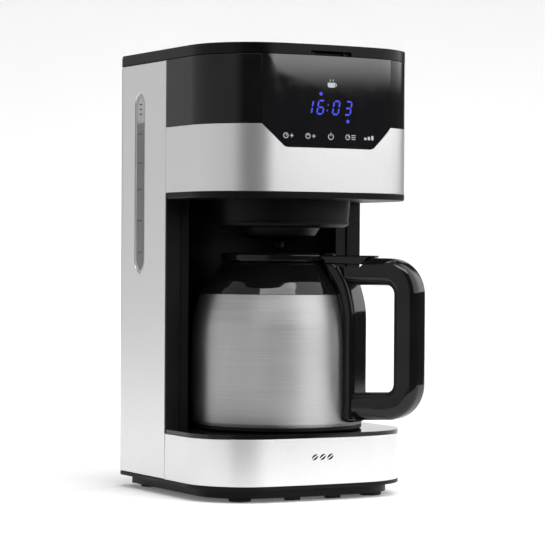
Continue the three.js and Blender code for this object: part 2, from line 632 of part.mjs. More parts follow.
// The thumb lever: a plate on the lid's pin that thickens beyond the lid's rim, and ends slanted.
const LEVER = { x0: 30, half: 9.6, low: 190.4, high: 194.6, axisX: 34, axisZ: 192.5 };
const LEVER_BODY = { x0: 49.5, x1: 84, tip: 91.5, low: 187.4 };
const LEVER_DROP = 2; // room for the pressed lever above the handle
const LEVER_ROOM_LOW = 189; // and in the lid's notch

// A shape of [radius, height] extruded across the handle, along the local Y axis.
function handlePrism(shape, half, bevel) {
  const rounding = { bevelSize: bevel, bevelThickness: bevel, bevelOffset: -bevel, bevelSegments: 3 };
  const depth = 2 * (half - bevel);
  const options = { depth, bevelEnabled: bevel > 0, curveSegments: 6, ...rounding };
  const geometry = new THREE.ExtrudeGeometry(shape, options).translate(0, 0, -(half - bevel));
  return solid(geometry.rotateX(Math.PI / 2));
}

function gripShape() {
  const outer = new THREE.Shape();
  outer.moveTo(58, LEVER_BODY.low - LEVER_DROP);
  outer.lineTo(LEVER_BODY.x1 + 0.5, LEVER_BODY.low - LEVER_DROP);
  outer.lineTo(LEVER_BODY.tip + 1.25, LEVER.high - 1.3);
  outer.lineTo(106, 192.4);
  outer.quadraticCurveTo(128, 190.5, 132.5, 171);
  outer.quadraticCurveTo(GRIP.outer, 165, GRIP.outer, 158);
  outer.lineTo(GRIP.outer, 94);
  outer.quadraticCurveTo(GRIP.outer - 1, 66.5, 104, 65);
  outer.lineTo(72, 61.7);
  outer.lineTo(60, 61.7);
  const hole = new THREE.Path();
  hole.moveTo(74, 86);
  hole.lineTo(107, 87.4);
  hole.quadraticCurveTo(GRIP.inner, 88, GRIP.inner, 95);
  hole.lineTo(GRIP.inner, 161);
  hole.quadraticCurveTo(GRIP.inner, 170.2, 106, 170.6);
  hole.lineTo(74, 171);
  hole.closePath();
  outer.holes.push(hole);
  return outer;
}

function makeHandle(group) {
  const loop = handlePrism(gripShape(), GRIP.half, GRIP.bevel);
  const strapShape = polygon([[58, STRAP.low], [STRAP.outer - 1.5, STRAP.low], [STRAP.outer, STRAP.low + 2],
    [STRAP.outer, 150], [74, 172], [66, 184], [52, 184]]);
  const strap = handlePrism(strapShape, STRAP.half, 0);
  const around = grown([...STEEL_PROFILE, ...COLLAR_PROFILE], 0.6);
  const room = lathe([[0, 50], [around[0][0], 50], ...around, [46, 199], [0, 199]], 0, 36);
  part("jug_handle", cut(union(loop, strap), room), GLOSS_BLACK, group);
}

function makeJugLid(group) {
  const stopper = lathe([
    [7, 160], [36, 160], [38, 162], [38, 166.2], [39.8, 166.2], [39.8, 189.2], [46.6, 189.2], [47.4, 190.4],
    [47.4, 194.6], [45.6, 196.2], [41, 196.2], [12, 192.6], [7, 192], [7, 160]], 0, 36);
  const notch = box(LEVER.x0 - 1, 60, -LEVER.half - 0.6, LEVER.half + 0.6, LEVER_ROOM_LOW, 200);
  const bore = barY(1.8, -15, 15, LEVER.axisX, LEVER.axisZ, 12);
  part("jug_lid", cut(stopper, notch, bore), GLOSS_BLACK, group);
  part("lid_gasket", ring(38.3, 41.4, 162.6, 165.9, 0, 28), SILICONE, group);
  part("lever_pin", barY(1.3, -14, 14, LEVER.axisX, LEVER.axisZ, 12), STEEL, group);

  const side = polygon([
    [LEVER.x0, LEVER.low], [LEVER_BODY.x0, LEVER.low], [LEVER_BODY.x0, LEVER_BODY.low],
    [LEVER_BODY.x1, LEVER_BODY.low], [LEVER_BODY.tip, LEVER.high], [LEVER.x0, LEVER.high]]);
  part("thumb_lever", cut(handlePrism(side, LEVER.half, 0), bore), GLOSS_BLACK, group);
}

function makeJug() {
  jug.position.y = JUG_Y;
  jug.rotation.z = HANDLE_ANGLE;
  makeJugBody();
  makeHandle(jug);
  makeJugLid(jug);
}

makeBase();
makeBayWall();
makeColumn();
makeHead();
makeTopStrip();
makeTopLid();
makeBrewing();
makeWater();
makeElectronics();
makeJug();

// The origin is the middle of the footprint, the handle included.
machine.updateMatrixWorld(true);
const extent = new THREE.Box3().setFromObject(machine, true);
const middle = extent.getCenter(new THREE.Vector3());
const placed = new THREE.Group();
machine.position.set(-middle.x, -middle.y, -extent.min.z);
placed.add(machine);

export default placed;
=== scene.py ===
"""Looks of the drip coffee maker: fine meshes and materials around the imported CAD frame."""

import json
import math
from collections import namedtuple

import bmesh
import bpy
from mathutils import Matrix, Vector


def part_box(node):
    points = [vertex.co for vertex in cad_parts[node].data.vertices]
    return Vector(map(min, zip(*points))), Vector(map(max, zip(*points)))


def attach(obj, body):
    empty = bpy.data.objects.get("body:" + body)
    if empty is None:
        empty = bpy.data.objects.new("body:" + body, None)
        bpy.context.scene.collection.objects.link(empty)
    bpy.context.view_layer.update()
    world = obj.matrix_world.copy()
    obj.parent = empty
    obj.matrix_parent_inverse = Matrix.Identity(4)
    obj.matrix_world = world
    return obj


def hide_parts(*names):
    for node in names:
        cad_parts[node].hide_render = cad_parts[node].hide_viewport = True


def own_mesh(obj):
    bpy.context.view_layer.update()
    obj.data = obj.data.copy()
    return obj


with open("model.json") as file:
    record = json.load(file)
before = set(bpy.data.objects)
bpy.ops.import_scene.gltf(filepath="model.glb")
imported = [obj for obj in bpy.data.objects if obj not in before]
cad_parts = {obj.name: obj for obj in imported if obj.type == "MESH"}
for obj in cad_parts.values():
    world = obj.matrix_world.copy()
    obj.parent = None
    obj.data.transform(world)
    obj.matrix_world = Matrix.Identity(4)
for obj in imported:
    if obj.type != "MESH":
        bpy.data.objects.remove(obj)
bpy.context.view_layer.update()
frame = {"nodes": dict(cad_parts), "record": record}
MM = 0.001

# ---- driving dimensions, in metres; heights and places come from the frame ----
LOW, HIGH = 0, 1
DEPTH = 194.5 * MM
REAR_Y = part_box("rear_cover")[HIGH].y
HALF = -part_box("left_side_panel")[LOW].x
HEAD_FRONT = REAR_Y - DEPTH
SKIN = 2.4 * MM
GAP = 0.3 * MM
HEAD_CORNER = 55 * MM
HEAD_BOW = 2.75 * MM
BASE_CORNER = 52 * MM
BASE_BOW = 1.7 * MM
BASE_SET_BACK = 9 * MM
REAR_CORNER = 15 * MM
SEAM_LEFT = HEAD_FRONT + 99.5 * MM
SEAM_RIGHT = HEAD_FRONT + 112 * MM
BAY_RADIUS = 76 * MM
BAY_WALL = 2.5 * MM
LENS_HALF = 58.7 * MM
LENS_DIP_HALF = 39.7 * MM
LENS_GAP = 0.25 * MM
GAUGE_ARCH = 11 * MM
WATER_LEVEL = 302 * MM
VIEW_ANGLE = math.radians(28.89)

JUG_CENTRE = (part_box("jug_shell")[LOW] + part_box("jug_shell")[HIGH]) / 2
JUG_Y = JUG_CENTRE.y
BREW_Y = (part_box("brew_tub")[LOW].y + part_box("brew_tub")[HIGH].y) / 2
HANDLE_ANGLE = math.radians(-62)
HEAD_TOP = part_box("head_band")[HIGH].z
BAND_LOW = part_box("head_band")[LOW].z
LENS_LOW, LENS_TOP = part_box("front_lens")[LOW].z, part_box("front_lens")[HIGH].z
DECK_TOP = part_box("jug_platform")[HIGH].z
LID_LOW, LID_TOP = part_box("top_lid")[LOW].z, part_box("top_lid")[HIGH].z
LID_END = (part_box("lid_hinge_pin_left")[LOW].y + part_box("lid_hinge_pin_left")[HIGH].y) / 2


# ---- the plan of the machine ----


class Plan:
    """The outline seen from above, walked from the middle of the front: s grows to the right
    (+X) and falls to the left, and offset moves a point inwards."""

    def __init__(self, half, front, corner, bow):
        straight = half - corner
        self.bend = math.asin(2 * bow * straight / (straight**2 + bow**2))
        self.half, self.front, self.corner = half, front, corner
        self.bow_radius = (straight + corner * math.sin(self.bend)) / math.sin(self.bend)
        self.bow_y = front + corner + (self.bow_radius - corner) * math.cos(self.bend)
        self.ends = [self.bow_radius * self.bend]
        self.ends.append(self.ends[-1] + corner * (math.pi / 2 - self.bend))
        self.ends.append(self.ends[-1] + REAR_Y - REAR_CORNER - front - corner)
        self.ends.append(self.ends[-1] + REAR_CORNER * math.pi / 2)
        self.ends.append(self.ends[-1] + half - REAR_CORNER)

    def at(self, s, offset=0.0):
        """The point and the outward normal at s, drawn in by offset."""
        side, s = (1 if s >= 0 else -1), abs(s)
        bow, corner, flat, rear, _ = self.ends
        if s <= bow:
            angle = s / self.bow_radius
            centre, radius = (0, self.bow_y), self.bow_radius
        elif s <= corner:
            angle = self.bend + (s - bow) / self.corner
            centre, radius = (self.half - self.corner, self.front + self.corner), self.corner
        elif s <= flat:
            x = self.half - offset
            y = self.front + self.corner + s - corner
            return Vector((side * x, y)), Vector((side, 0))
        elif s <= rear:
            angle = math.pi / 2 + (s - flat) / REAR_CORNER
            centre, radius = (self.half - REAR_CORNER, REAR_Y - REAR_CORNER), REAR_CORNER
        else:
            x = self.half - REAR_CORNER - (s - rear)
            return Vector((side * x, REAR_Y - offset)), Vector((0, 1))
        normal = Vector((math.sin(angle), -math.cos(angle)))
        point = Vector(centre) + normal * (radius - offset)
        return Vector((side * point.x, point.y)), Vector((side * normal.x, normal.y))

    def side_s(self, y):
        """The s of a place on the flat side, by its Y."""
        return self.ends[1] + y - self.front - self.corner

    def front_s(self, x):
        """The s of a place on the front or its corner, by its X."""
        low, high = 0.0, self.ends[1]
        for _ in range(40):
            middle = (low + high) / 2
            low, high = (middle, high) if self.at(middle)[0].x < abs(x) else (low, middle)
        return math.copysign(low, x)

    def cuts(self, s0, s1):
        """Where a band from s0 to s1 needs a row of vertices to follow the curves."""
        places = []
        starts = [0.0] + self.ends
        steps = [4.5 * MM, 2.2 * MM, 0, 1.2 * MM, 0]
        for start, end, step in zip(starts, self.ends, steps):
            count = max(1, round((end - start) / step)) if step else 1
            places += [start + (end - start) * k / count for k in range(count + 1)]
        both = sorted({round(p, 7) for p in places} | {round(-p, 7) for p in places})
        return [p for p in both if s0 < p < s1]

    def outline(self, s0, s1, offset=0.0):
        """Points from s0 to s1, for a polygon seen from above."""
        places = [s0, *self.cuts(s0, s1), s1]
        return [tuple(self.at(s, offset)[0]) for s in places]


HEAD = Plan(HALF, HEAD_FRONT, HEAD_CORNER, HEAD_BOW)
BASE = Plan(HALF - GAP, HEAD_FRONT + BASE_SET_BACK, BASE_CORNER, BASE_BOW)


# ---- mesh helpers ----


def scaled(points):
    """Points given in millimetres, in metres."""
    return [(a * MM, b * MM) for a, b in points]


def new_object(name, bm):
    """An object made of a bmesh, in the scene."""
    mesh = bpy.data.meshes.new(name)
    bm.to_mesh(mesh)
    bm.free()
    obj = bpy.data.objects.new(name, mesh)
    bpy.context.scene.collection.objects.link(obj)
    return obj


def finish_object(name, bm, finish, body, replaces=(), weighted=True, sharp=35):
    """Turns a bmesh into a smooth-shaded piece that rides on a body."""
    bmesh.ops.remove_doubles(bm, verts=bm.verts, dist=1e-6)
    bmesh.ops.dissolve_degenerate(bm, edges=bm.edges, dist=1e-7)
    bmesh.ops.recalc_face_normals(bm, faces=bm.faces)
    for face in bm.faces:
        face.smooth = True
    for edge in bm.edges:
        edge.smooth = len(edge.link_faces) == 2 and edge.calc_face_angle(0) < math.radians(sharp)
    obj = new_object(name, bm)
    if weighted:
        modifier = obj.modifiers.new("normals", "WEIGHTED_NORMAL")
        modifier.keep_sharp = True
        modifier.weight = 80
    obj.data.materials.append(finish.material)
    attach(obj, body)
    if replaces:
        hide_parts(*replaces)
    return obj


def filled(loops):
    """A bmesh with a face inside the first loop and outside the others, in the XZ plane."""
    bm = bmesh.new()
    edges = []
    for loop in loops:
        verts = [bm.verts.new((x, 0, z)) for x, z in loop]
        edges += [bm.edges.new((a, b)) for a, b in zip(verts, verts[1:] + verts[:1])]
    bmesh.ops.triangle_fill(bm, edges=edges, use_beauty=True, use_dissolve=False)
    return bm


def thicken(bm, depth):
    """Extrudes flat faces by depth along +Y and keeps both sides, so the result is closed."""
    made = bmesh.ops.extrude_face_region(bm, geom=bm.faces[:], use_keep_orig=True)
    moved = [v for v in made["geom"] if isinstance(v, bmesh.types.BMVert)]
    bmesh.ops.translate(bm, vec=(0, depth, 0), verts=moved)
    bmesh.ops.recalc_face_normals(bm, faces=bm.faces)


def rim_edges(bm, chosen):
    """Sharp edges whose both ends are chosen."""
    found = []
    for edge in bm.edges:
        if len(edge.link_faces) == 2 and all(chosen(v.co) for v in edge.verts):
            if edge.calc_face_angle(0) > math.radians(40):
                found.append(edge)
    return found


def bevel(bm, edges, width, segments=3):
    """Rounds the edges by width."""
    bmesh.ops.bevel(bm, geom=edges, offset=width, segments=segments, profile=0.5,
                    affect="EDGES", clamp_overlap=True, offset_type="OFFSET")


def slice_at(bm, places, axis=0):
    """Cuts the mesh at each place along an axis, so that it can be bent there."""
    normal = Vector((0, 0, 0))
    normal[axis] = 1
    for place in places:
        geom = bm.verts[:] + bm.edges[:] + bm.faces[:]
        bmesh.ops.bisect_plane(bm, geom=geom, plane_co=normal * place, plane_no=normal, dist=1e-7)


def wrapped(name, plan, loops, finish, depth=SKIN, offset=0.0, edge=0.5 * MM, segments=3, replaces=()):
    """A panel cut flat in (s, z), with rounded front edges, bent round the plan."""
    bm = filled(loops)
    thicken(bm, depth)
    if edge:
        bevel(bm, rim_edges(bm, lambda co: co.y < 1e-6), edge, segments)
    s_values = [v.co.x for v in bm.verts]
    slice_at(bm, plan.cuts(min(s_values), max(s_values)))
    for vert in bm.verts:
        point, _ = plan.at(vert.co.x, offset + vert.co.y)
        vert.co.x, vert.co.y = point
    return finish_object(name, bm, finish, "machine", replaces)


def plate(loops, z0, z1, top, bottom, segments):
    """A bmesh of a flat plate seen from above, with its top and bottom edges rounded."""
    bm = filled(loops)
    thicken(bm, z1 - z0)
    for vert in bm.verts:
        vert.co = Vector((vert.co.x, vert.co.z, z1 - vert.co.y))
    bmesh.ops.recalc_face_normals(bm, faces=bm.faces)
    if top:
        bevel(bm, rim_edges(bm, lambda co: co.z > z1 - 1e-6), top, segments)
    if bottom:
        bevel(bm, rim_edges(bm, lambda co: co.z < z0 + 1e-6), bottom, 2)
    return bm


def slab(name, loops, z0, z1, finish, body="machine", top=0.5 * MM, bottom=0.3 * MM, segments=3,
         replaces=()):
    """A flat plate as a piece of its own."""
    return finish_object(name, plate(loops, z0, z1, top, bottom, segments), finish, body, replaces)


def circle(x, y, radius, count=96, start=0.0, end=2 * math.pi):
    """Points of a circle or an arc; a full circle leaves its last point out."""
    whole = abs(end - start - 2 * math.pi) < 1e-9
    steps = count if whole else count + 1
    angles = [start + (end - start) * k / count for k in range(steps)]
    return [(x + radius * math.cos(a), y + radius * math.sin(a)) for a in angles]


def soften(points, radii, steps=6):
    """Rounds the corners of an open [r, z] line; radii is one number, or one for each point."""
    if not hasattr(radii, "__len__"):
        radii = [radii] * len(points)
    line = [Vector(points[0])]
    for i in range(1, len(points) - 1):
        before, here, after = (Vector(points[k]) for k in (i - 1, i, i + 1))
        back, on = before - here, after - here
        turn = math.pi - back.angle(on) if back.length and on.length else 0
        if radii[i] <= 0 or turn < 0.02:
            line.append(here)
            continue
        reach = min(radii[i] * math.tan(turn / 2), 0.48 * back.length, 0.48 * on.length)
        start, end = here + back.normalized() * reach, here + on.normalized() * reach
        for k in range(steps + 1):
            t = k / steps
            line.append(start * (1 - t) ** 2 + here * 2 * t * (1 - t) + end * t**2)
    line.append(Vector(points[-1]))
    return [tuple(p) for p in line]


def turned(name, profile, finish, body, y, count, replaces=(), x=0.0):
    """A solid of revolution about a vertical axis, from a closed or axis-to-axis profile."""
    bm = bmesh.new()
    rings = []
    for radius, z in profile:
        if radius < 1e-7:
            rings.append([bm.verts.new((x, y, z))])
            continue
        rings.append([bm.verts.new((*place, z)) for place in circle(x, y, radius, count)])
    closed = len(rings[0]) > 1
    for first, second in zip(rings, rings[1:] + rings[:1] if closed else rings[1:]):
        for k in range(count):
            j = (k + 1) % count
            corners = [first[k % len(first)], first[j % len(first)],
                       second[j % len(second)], second[k % len(second)]]
            unique = list(dict.fromkeys(corners))
            if len(unique) > 2:
                bm.faces.new(unique)
    return finish_object(name, bm, finish, body, replaces)


def shell_profile(outer, inset):
    """A closed profile of a thin shell, from its outer [r, z] line, drawn in by inset."""
    inner = []
    for i, (r, z) in enumerate(outer):
        before, after = outer[max(i - 1, 0)], outer[min(i + 1, len(outer) - 1)]
        along = Vector((after[0] - before[0], after[1] - before[1])).normalized()
        inner.append((max(r - along.y * inset, 0), z + along.x * inset))
    return list(outer) + inner[::-1]


def skin_rings(bm, rings):
    """Joins closed rings of equal count one after another, and caps the two ends."""
    for first, second in zip(rings, rings[1:]):
        for k in range(len(first)):
            j = (k + 1) % len(first)
            bm.faces.new((first[k], first[j], second[j], second[k]))
    bm.faces.new(rings[0][::-1])
    bm.faces.new(rings[-1])


def swept(name, points, radius, finish, body, sides, replaces):
    """A round bar through the points."""
    bm = bmesh.new()
    line = [Vector(p) for p in points]
    rings = []
    side = None
    for i, here in enumerate(line):
        ahead = (line[min(i + 1, len(line) - 1)] - line[max(i - 1, 0)]).normalized()
        if side is None:
            side = ahead.orthogonal().normalized()
        side = (side - ahead * side.dot(ahead)).normalized()
        up = ahead.cross(side)
        rings.append([bm.verts.new(here + side * u + up * v) for u, v in circle(0, 0, radius, sides)])
    skin_rings(bm, rings)
    return finish_object(name, bm, finish, body, replaces, sharp=50)


def rounded_section(half_u, half_v, corner, steps=5):
    """The outline of a rounded rectangle, as (u, v) pairs."""
    points = []
    for k in range(4):
        middle = math.pi / 2 * k
        u = (half_u - corner) * (1 if k in (0, 3) else -1)
        v = (half_v - corner) * (1 if k in (0, 1) else -1)
        for i in range(steps + 1):
            angle = middle + math.pi / 2 * i / steps
            points.append((u + corner * math.cos(angle), v + corner * math.sin(angle)))
    return points


def swept_bar(path, halves, half_across, corner, rounded_ends=0.0):
    """A bmesh of a bar with a rounded section, along (radius, z) points; halves are its
    half widths in that plane. Its ends close in a dome of the given length."""
    stations = [(Vector(p), half, 1.0) for p, half in zip(path, halves)]
    if rounded_ends:
        first, last = stations[0], stations[-1]
        back = (first[0] - stations[1][0]).normalized()
        on = (last[0] - stations[-2][0]).normalized()
        for t in (0.45, 0.75, 0.93, 1.0):
            size = max(math.sqrt(1 - t * t), 0.12)
            stations.insert(0, (first[0] + back * rounded_ends * t, first[1], size))
            stations.append((last[0] + on * rounded_ends * t, last[1], size))
    bm = bmesh.new()
    rings = []
    for i, (here, half, size) in enumerate(stations):
        before, after = stations[max(i - 1, 0)][0], stations[min(i + 1, len(stations) - 1)][0]
        along = (after - before).normalized()
        side = Vector((-along.y, along.x))
        ring = []
        for u, v in rounded_section(half, half_across, min(corner, half)):
            shrink = (1 - size) * corner
            u -= math.copysign(min(shrink, abs(u)), u)
            v -= math.copysign(min(shrink, abs(v)), v)
            flat = here + side * u
            ring.append(bm.verts.new((flat.x, v, flat.y)))
        rings.append(ring)
    skin_rings(bm, rings)
    return bm


def cutter_of(bm):
    """A plain object with this mesh, to cut another one with."""
    bmesh.ops.recalc_face_normals(bm, faces=bm.faces)
    return new_object("cutter", bm)


# ---- materials ----


class Look:
    """A procedural material: a Principled shader with its colour, roughness and bump from nodes."""

    def __init__(self, name, roughness, metallic=0.0, **sockets):
        self.material = bpy.data.materials.new(name)
        self.material.use_nodes = True
        self.tree = self.material.node_tree
        self.shader = self.tree.nodes["Principled BSDF"]
        self.shader.inputs["Roughness"].default_value = roughness
        self.shader.inputs["Metallic"].default_value = metallic
        for key, value in sockets.items():
            self.shader.inputs[key.replace("_", " ")].default_value = value
        self.coords = self.node("ShaderNodeTexCoord").outputs["Object"]

    def node(self, kind, **settings):
        made = self.tree.nodes.new(kind)
        for key, value in settings.items():
            if key in made.inputs:
                made.inputs[key].default_value = value
            else:
                setattr(made, key, value)
        return made

    def link(self, source, target):
        self.tree.links.new(source, target)

    def scaled(self, x, y, z):
        mapping = self.node("ShaderNodeMapping")
        mapping.inputs["Scale"].default_value = (x, y, z)
        self.link(self.coords, mapping.inputs["Vector"])
        return mapping.outputs["Vector"]

    def noise(self, scale, detail=3.0, rough=0.55, vector=None):
        made = self.node("ShaderNodeTexNoise", Scale=scale, Detail=detail, Roughness=rough)
        self.link(vector or self.coords, made.inputs["Vector"])
        return made.outputs["Fac"]

    def ramp(self, source, stops):
        made = self.node("ShaderNodeValToRGB")
        elements = made.color_ramp.elements
        while len(elements) < len(stops):
            elements.new(0.5)
        for element, (place, value) in zip(elements, stops):
            element.position = place
            element.color = (*value, 1) if hasattr(value, "__len__") else (value, value, value, 1)
        self.link(source, made.inputs["Fac"])
        return made.outputs["Color"]

    def spread(self, scale, detail, low, high, low_at=0.3, high_at=0.7):
        """Noise mapped to the range between two values or two colours."""
        return self.ramp(self.noise(scale, detail), [(low_at, low), (high_at, high)])

    def colour(self, source):
        self.link(source, self.shader.inputs["Base Color"])

    def rough(self, source):
        self.link(source, self.shader.inputs["Roughness"])

    def bump(self, source, strength, distance):
        made = self.node("ShaderNodeBump", Strength=strength, Distance=distance)
        self.link(source, made.inputs["Height"])
        self.link(made.outputs["Normal"], self.shader.inputs["Normal"])


def grained(name, roughness, colour, rough=None, bump=None, metallic=0.0, **sockets):
    """A material whose colour, roughness and height each follow a noise of their own: colour and
    rough are arguments of Look.spread, bump is (scale, detail, strength, distance)."""
    look = Look(name, roughness, metallic, **sockets)
    look.colour(look.spread(*colour))
    if rough:
        look.rough(look.spread(*rough))
    if bump:
        scale, detail, strength, distance = bump
        look.bump(look.noise(scale, detail), strength, distance)
    return look.material


def silver_paint():
    """Satin silver: metal flakes too fine to see one by one, with a faint orange peel."""
    return grained("silver_satin", 0.3, (2600, 2, (0.69, 0.69, 0.695), (0.8, 0.8, 0.805), 0.35, 0.65),
                   (14, 2, 0.3, 0.34), (900, 3, 0.06, 0.0002), metallic=0.85)


def gloss_black():
    """Polished black plastic with hardly visible handling marks."""
    return grained("gloss_black", 0.08, (40, 2, (0.004, 0.004, 0.0045), (0.007, 0.007, 0.008)),
                   (30, 4, 0.05, 0.11, 0.35, 0.75), (22, 2, 0.02, 0.0004),
                   Coat_Weight=0.05, Coat_Roughness=0.04, Specular_IOR_Level=0.28)


def lid_black():
    """Satin black plastic of the lid: smooth, but with a duller sheen than the head."""
    return grained("lid_black", 0.25, (60, 2, (0.003, 0.003, 0.0033), (0.005, 0.005, 0.0055)),
                   (45, 4, 0.2, 0.3, 0.35, 0.75), (700, 2, 0.03, 0.0002), Specular_IOR_Level=0.15)


def lens_glass():
    """The dark display window: a flat, very smooth sheet."""
    return grained("lens_glass", 0.03, (12, 2, (0.003, 0.003, 0.004), (0.005, 0.005, 0.006)),
                   (60, 3, 0.025, 0.06, 0.4, 0.8), Coat_Weight=0.3, Coat_Roughness=0.02,
                   Specular_IOR_Level=0.8)


def matte_black(name, tone, roughness):
    """Moulded black plastic with a fine spark-eroded grain."""
    return grained(name, roughness, (500, 3, tone * 0.8, tone * 1.25),
                   (25, 3, roughness - 0.05, roughness + 0.06), (1800, 3, 0.18, 0.0003),
                   Specular_IOR_Level=0.12)


def brushed_steel():
    """Steel brushed round the jug: long fine lines that change with height only."""
    look = Look("brushed_steel", 0.34, 1.0, Anisotropic=0.75, Anisotropic_Rotation=0.25)
    lines = look.noise(1.0, 2, 0.6, look.scaled(14, 14, 3200))
    broad = look.noise(1.0, 2, 0.5, look.scaled(7, 7, 30))
    look.colour(look.ramp(lines, [(0.3, (0.38, 0.385, 0.38)), (0.7, (0.46, 0.465, 0.46))]))
    look.rough(look.ramp(broad, [(0.3, 0.47), (0.7, 0.53)]))
    look.bump(lines, 0.05, 0.0001)
    tangent = look.node("ShaderNodeTangent", direction_type="RADIAL", axis="Z")
    look.link(tangent.outputs["Tangent"], look.shader.inputs["Tangent"])
    return look.material


def plain_metal(name, tone, roughness):
    """Bare metal, as cast or drawn."""
    return grained(name, roughness, (300, 3, tone * 0.85, tone * 1.1),
                   (80, 3, roughness, roughness + 0.12), (700, 2, 0.08, 0.0002), metallic=1.0)


def rubber():
    """Dull black rubber."""
    return grained("rubber", 0.8, (200, 3, 0.012, 0.022), bump=(1200, 3, 0.3, 0.0004),
                   Specular_IOR_Level=0.25)


def silicone():
    """Milky silicone of the hoses and seals."""
    return grained("silicone", 0.45, (60, 2, (0.6, 0.58, 0.54), (0.7, 0.68, 0.64)),
                   bump=(400, 2, 0.1, 0.0003), Subsurface_Weight=0.15)


def circuit_board():
    """Green lacquer over copper tracks."""
    look = Look("circuit_board", 0.35)
    tracks = look.node("ShaderNodeTexVoronoi", Scale=220.0, distance="MANHATTAN")
    look.link(look.coords, tracks.inputs["Vector"])
    stops = [(0.1, (0.05, 0.16, 0.07)), (0.5, (0.01, 0.06, 0.025))]
    look.colour(look.ramp(tracks.outputs["Distance"], stops))
    look.bump(tracks.outputs["Distance"], 0.2, 0.0003)
    return look.material


def rim_plastic():
    """The clear rim of the level window, which looks pale grey."""
    return grained("gauge_rim_plastic", 0.14, (30, 2, (0.36, 0.37, 0.38), (0.44, 0.45, 0.46)),
                   bump=(90, 2, 0.05, 0.0005), Coat_Weight=0.6, Coat_Roughness=0.05)


def gauge_plastic():
    """Clear smoked plastic with water behind it up to the level."""
    look = Look("gauge_plastic", 0.12, 0.0, Coat_Weight=0.8, Coat_Roughness=0.06)
    height = look.node("ShaderNodeSeparateXYZ")
    look.link(look.coords, height.inputs["Vector"])
    low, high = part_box("gauge_window")
    scaled = look.node("ShaderNodeMapRange")
    scaled.inputs["From Min"].default_value = low.z
    scaled.inputs["From Max"].default_value = high.z
    look.link(height.outputs["Z"], scaled.inputs["Value"])
    level = (WATER_LEVEL - low.z) / (high.z - low.z)
    look.colour(look.ramp(scaled.outputs["Result"], [
        (0.0, 0.07), (0.3, 0.05), (level - 0.2, 0.04), (level - 0.01, 0.055),
        (level, 0.07), (level + 0.01, 0.32), (1.0, 0.42)]))
    look.rough(look.spread(50, 3, 0.1, 0.2))
    look.bump(look.noise(60, 2), 0.05, 0.0005)
    return look.material


def smoked_plastic():
    """Clear plastic with a grey tint."""
    return grained("smoked_plastic", 0.15, (30, 2, (0.34, 0.36, 0.38), (0.42, 0.44, 0.46)),
                   bump=(90, 2, 0.05, 0.0005), Alpha=0.55, Coat_Weight=0.5)


def glowing(name, colour, strength):
    """A glowing mark. On the clock it is a lit segment whose glow falls off a little at random, as under a
    diffuser; on the printed key marks and cup the glow is painted light.
    """
    look = Look(name, 0.4, 0.0, Emission_Strength=strength)
    glow = look.spread(700, 2, tuple(c * 0.85 for c in colour), colour)
    look.link(glow, look.shader.inputs["Emission Color"])
    look.colour(look.spread(100, 1, (0.02, 0.02, 0.05), (0.03, 0.03, 0.08)))
    return look.material


def filter_mesh():
    """Nylon gauze: a fine square weave."""
    look = Look("filter_mesh", 0.5)
    wave = look.node("ShaderNodeTexWave", Scale=420.0, wave_type="BANDS", bands_direction="Z")
    look.link(look.coords, wave.inputs["Vector"])
    look.colour(look.ramp(wave.outputs["Fac"], [(0.2, (0.12, 0.09, 0.05)), (0.8, (0.45, 0.36, 0.22))]))
    look.bump(wave.outputs["Fac"], 0.5, 0.0005)
    return look.material


Finish = namedtuple("Finish", "material slot")
SILVER = Finish(silver_paint(), "silver")
GLOSS = Finish(gloss_black(), "gloss_black")
LENS = Finish(lens_glass(), "gloss_black")
LID = Finish(lid_black(), "gloss_black")
MATTE = Finish(matte_black("matte_black", 0.0035, 0.4), "matte_black")
MATTE_DARK = Finish(matte_black("matte_dark", 0.0025, 0.5), "matte_black")
STEEL = Finish(brushed_steel(), "jug_steel")
METAL = Finish(plain_metal("zinc_steel", 0.6, 0.28), "steel")
ALUMINIUM = Finish(plain_metal("cast_aluminium", 0.55, 0.42), "aluminium")
RUBBER = Finish(rubber(), "rubber")
SILICONE = Finish(silicone(), "silicone")
BOARD = Finish(circuit_board(), "board")
GAUGE = Finish(gauge_plastic(), "clear")
RIM = Finish(rim_plastic(), "clear")
SMOKED = Finish(smoked_plastic(), "clear")
GAUZE = Finish(filter_mesh(), "silicone")
BLUE_LIGHT = Finish(glowing("blue_segments", (0.02, 0.035, 0.8), 1.0), "display")
# The key marks and the cup are white print on the lens; their glow is painted light, not a lamp.
PRINT_MARK_PAINTED_GLOW = Finish(glowing("key_marks_painted_glow", (0.85, 0.88, 0.9), 0.62), "display")


# ---- base ----


def rows_before_seams(plan):
    """The s where the front panels end at the left and at the right seam."""
    return plan.side_s(SEAM_LEFT - GAP), plan.side_s(SEAM_RIGHT - GAP)


def rectangle(s0, s1, z0, z1):
    """The four corners of a rectangle, in order round it."""
    return [(s0, z0), (s1, z0), (s1, z1), (s0, z1)]


TRAY_INSET = 10 * MM
RIB_X, RIB_LONG, RIB_LOW, RIB_Y = (-25, 12), 12, 0.4 * MM, (11 * MM, 16 * MM)
FOOT_EDGE = 0.8 * MM
FEET = ("foot_front_left", "foot_front_right", "foot_rear_left", "foot_rear_right")


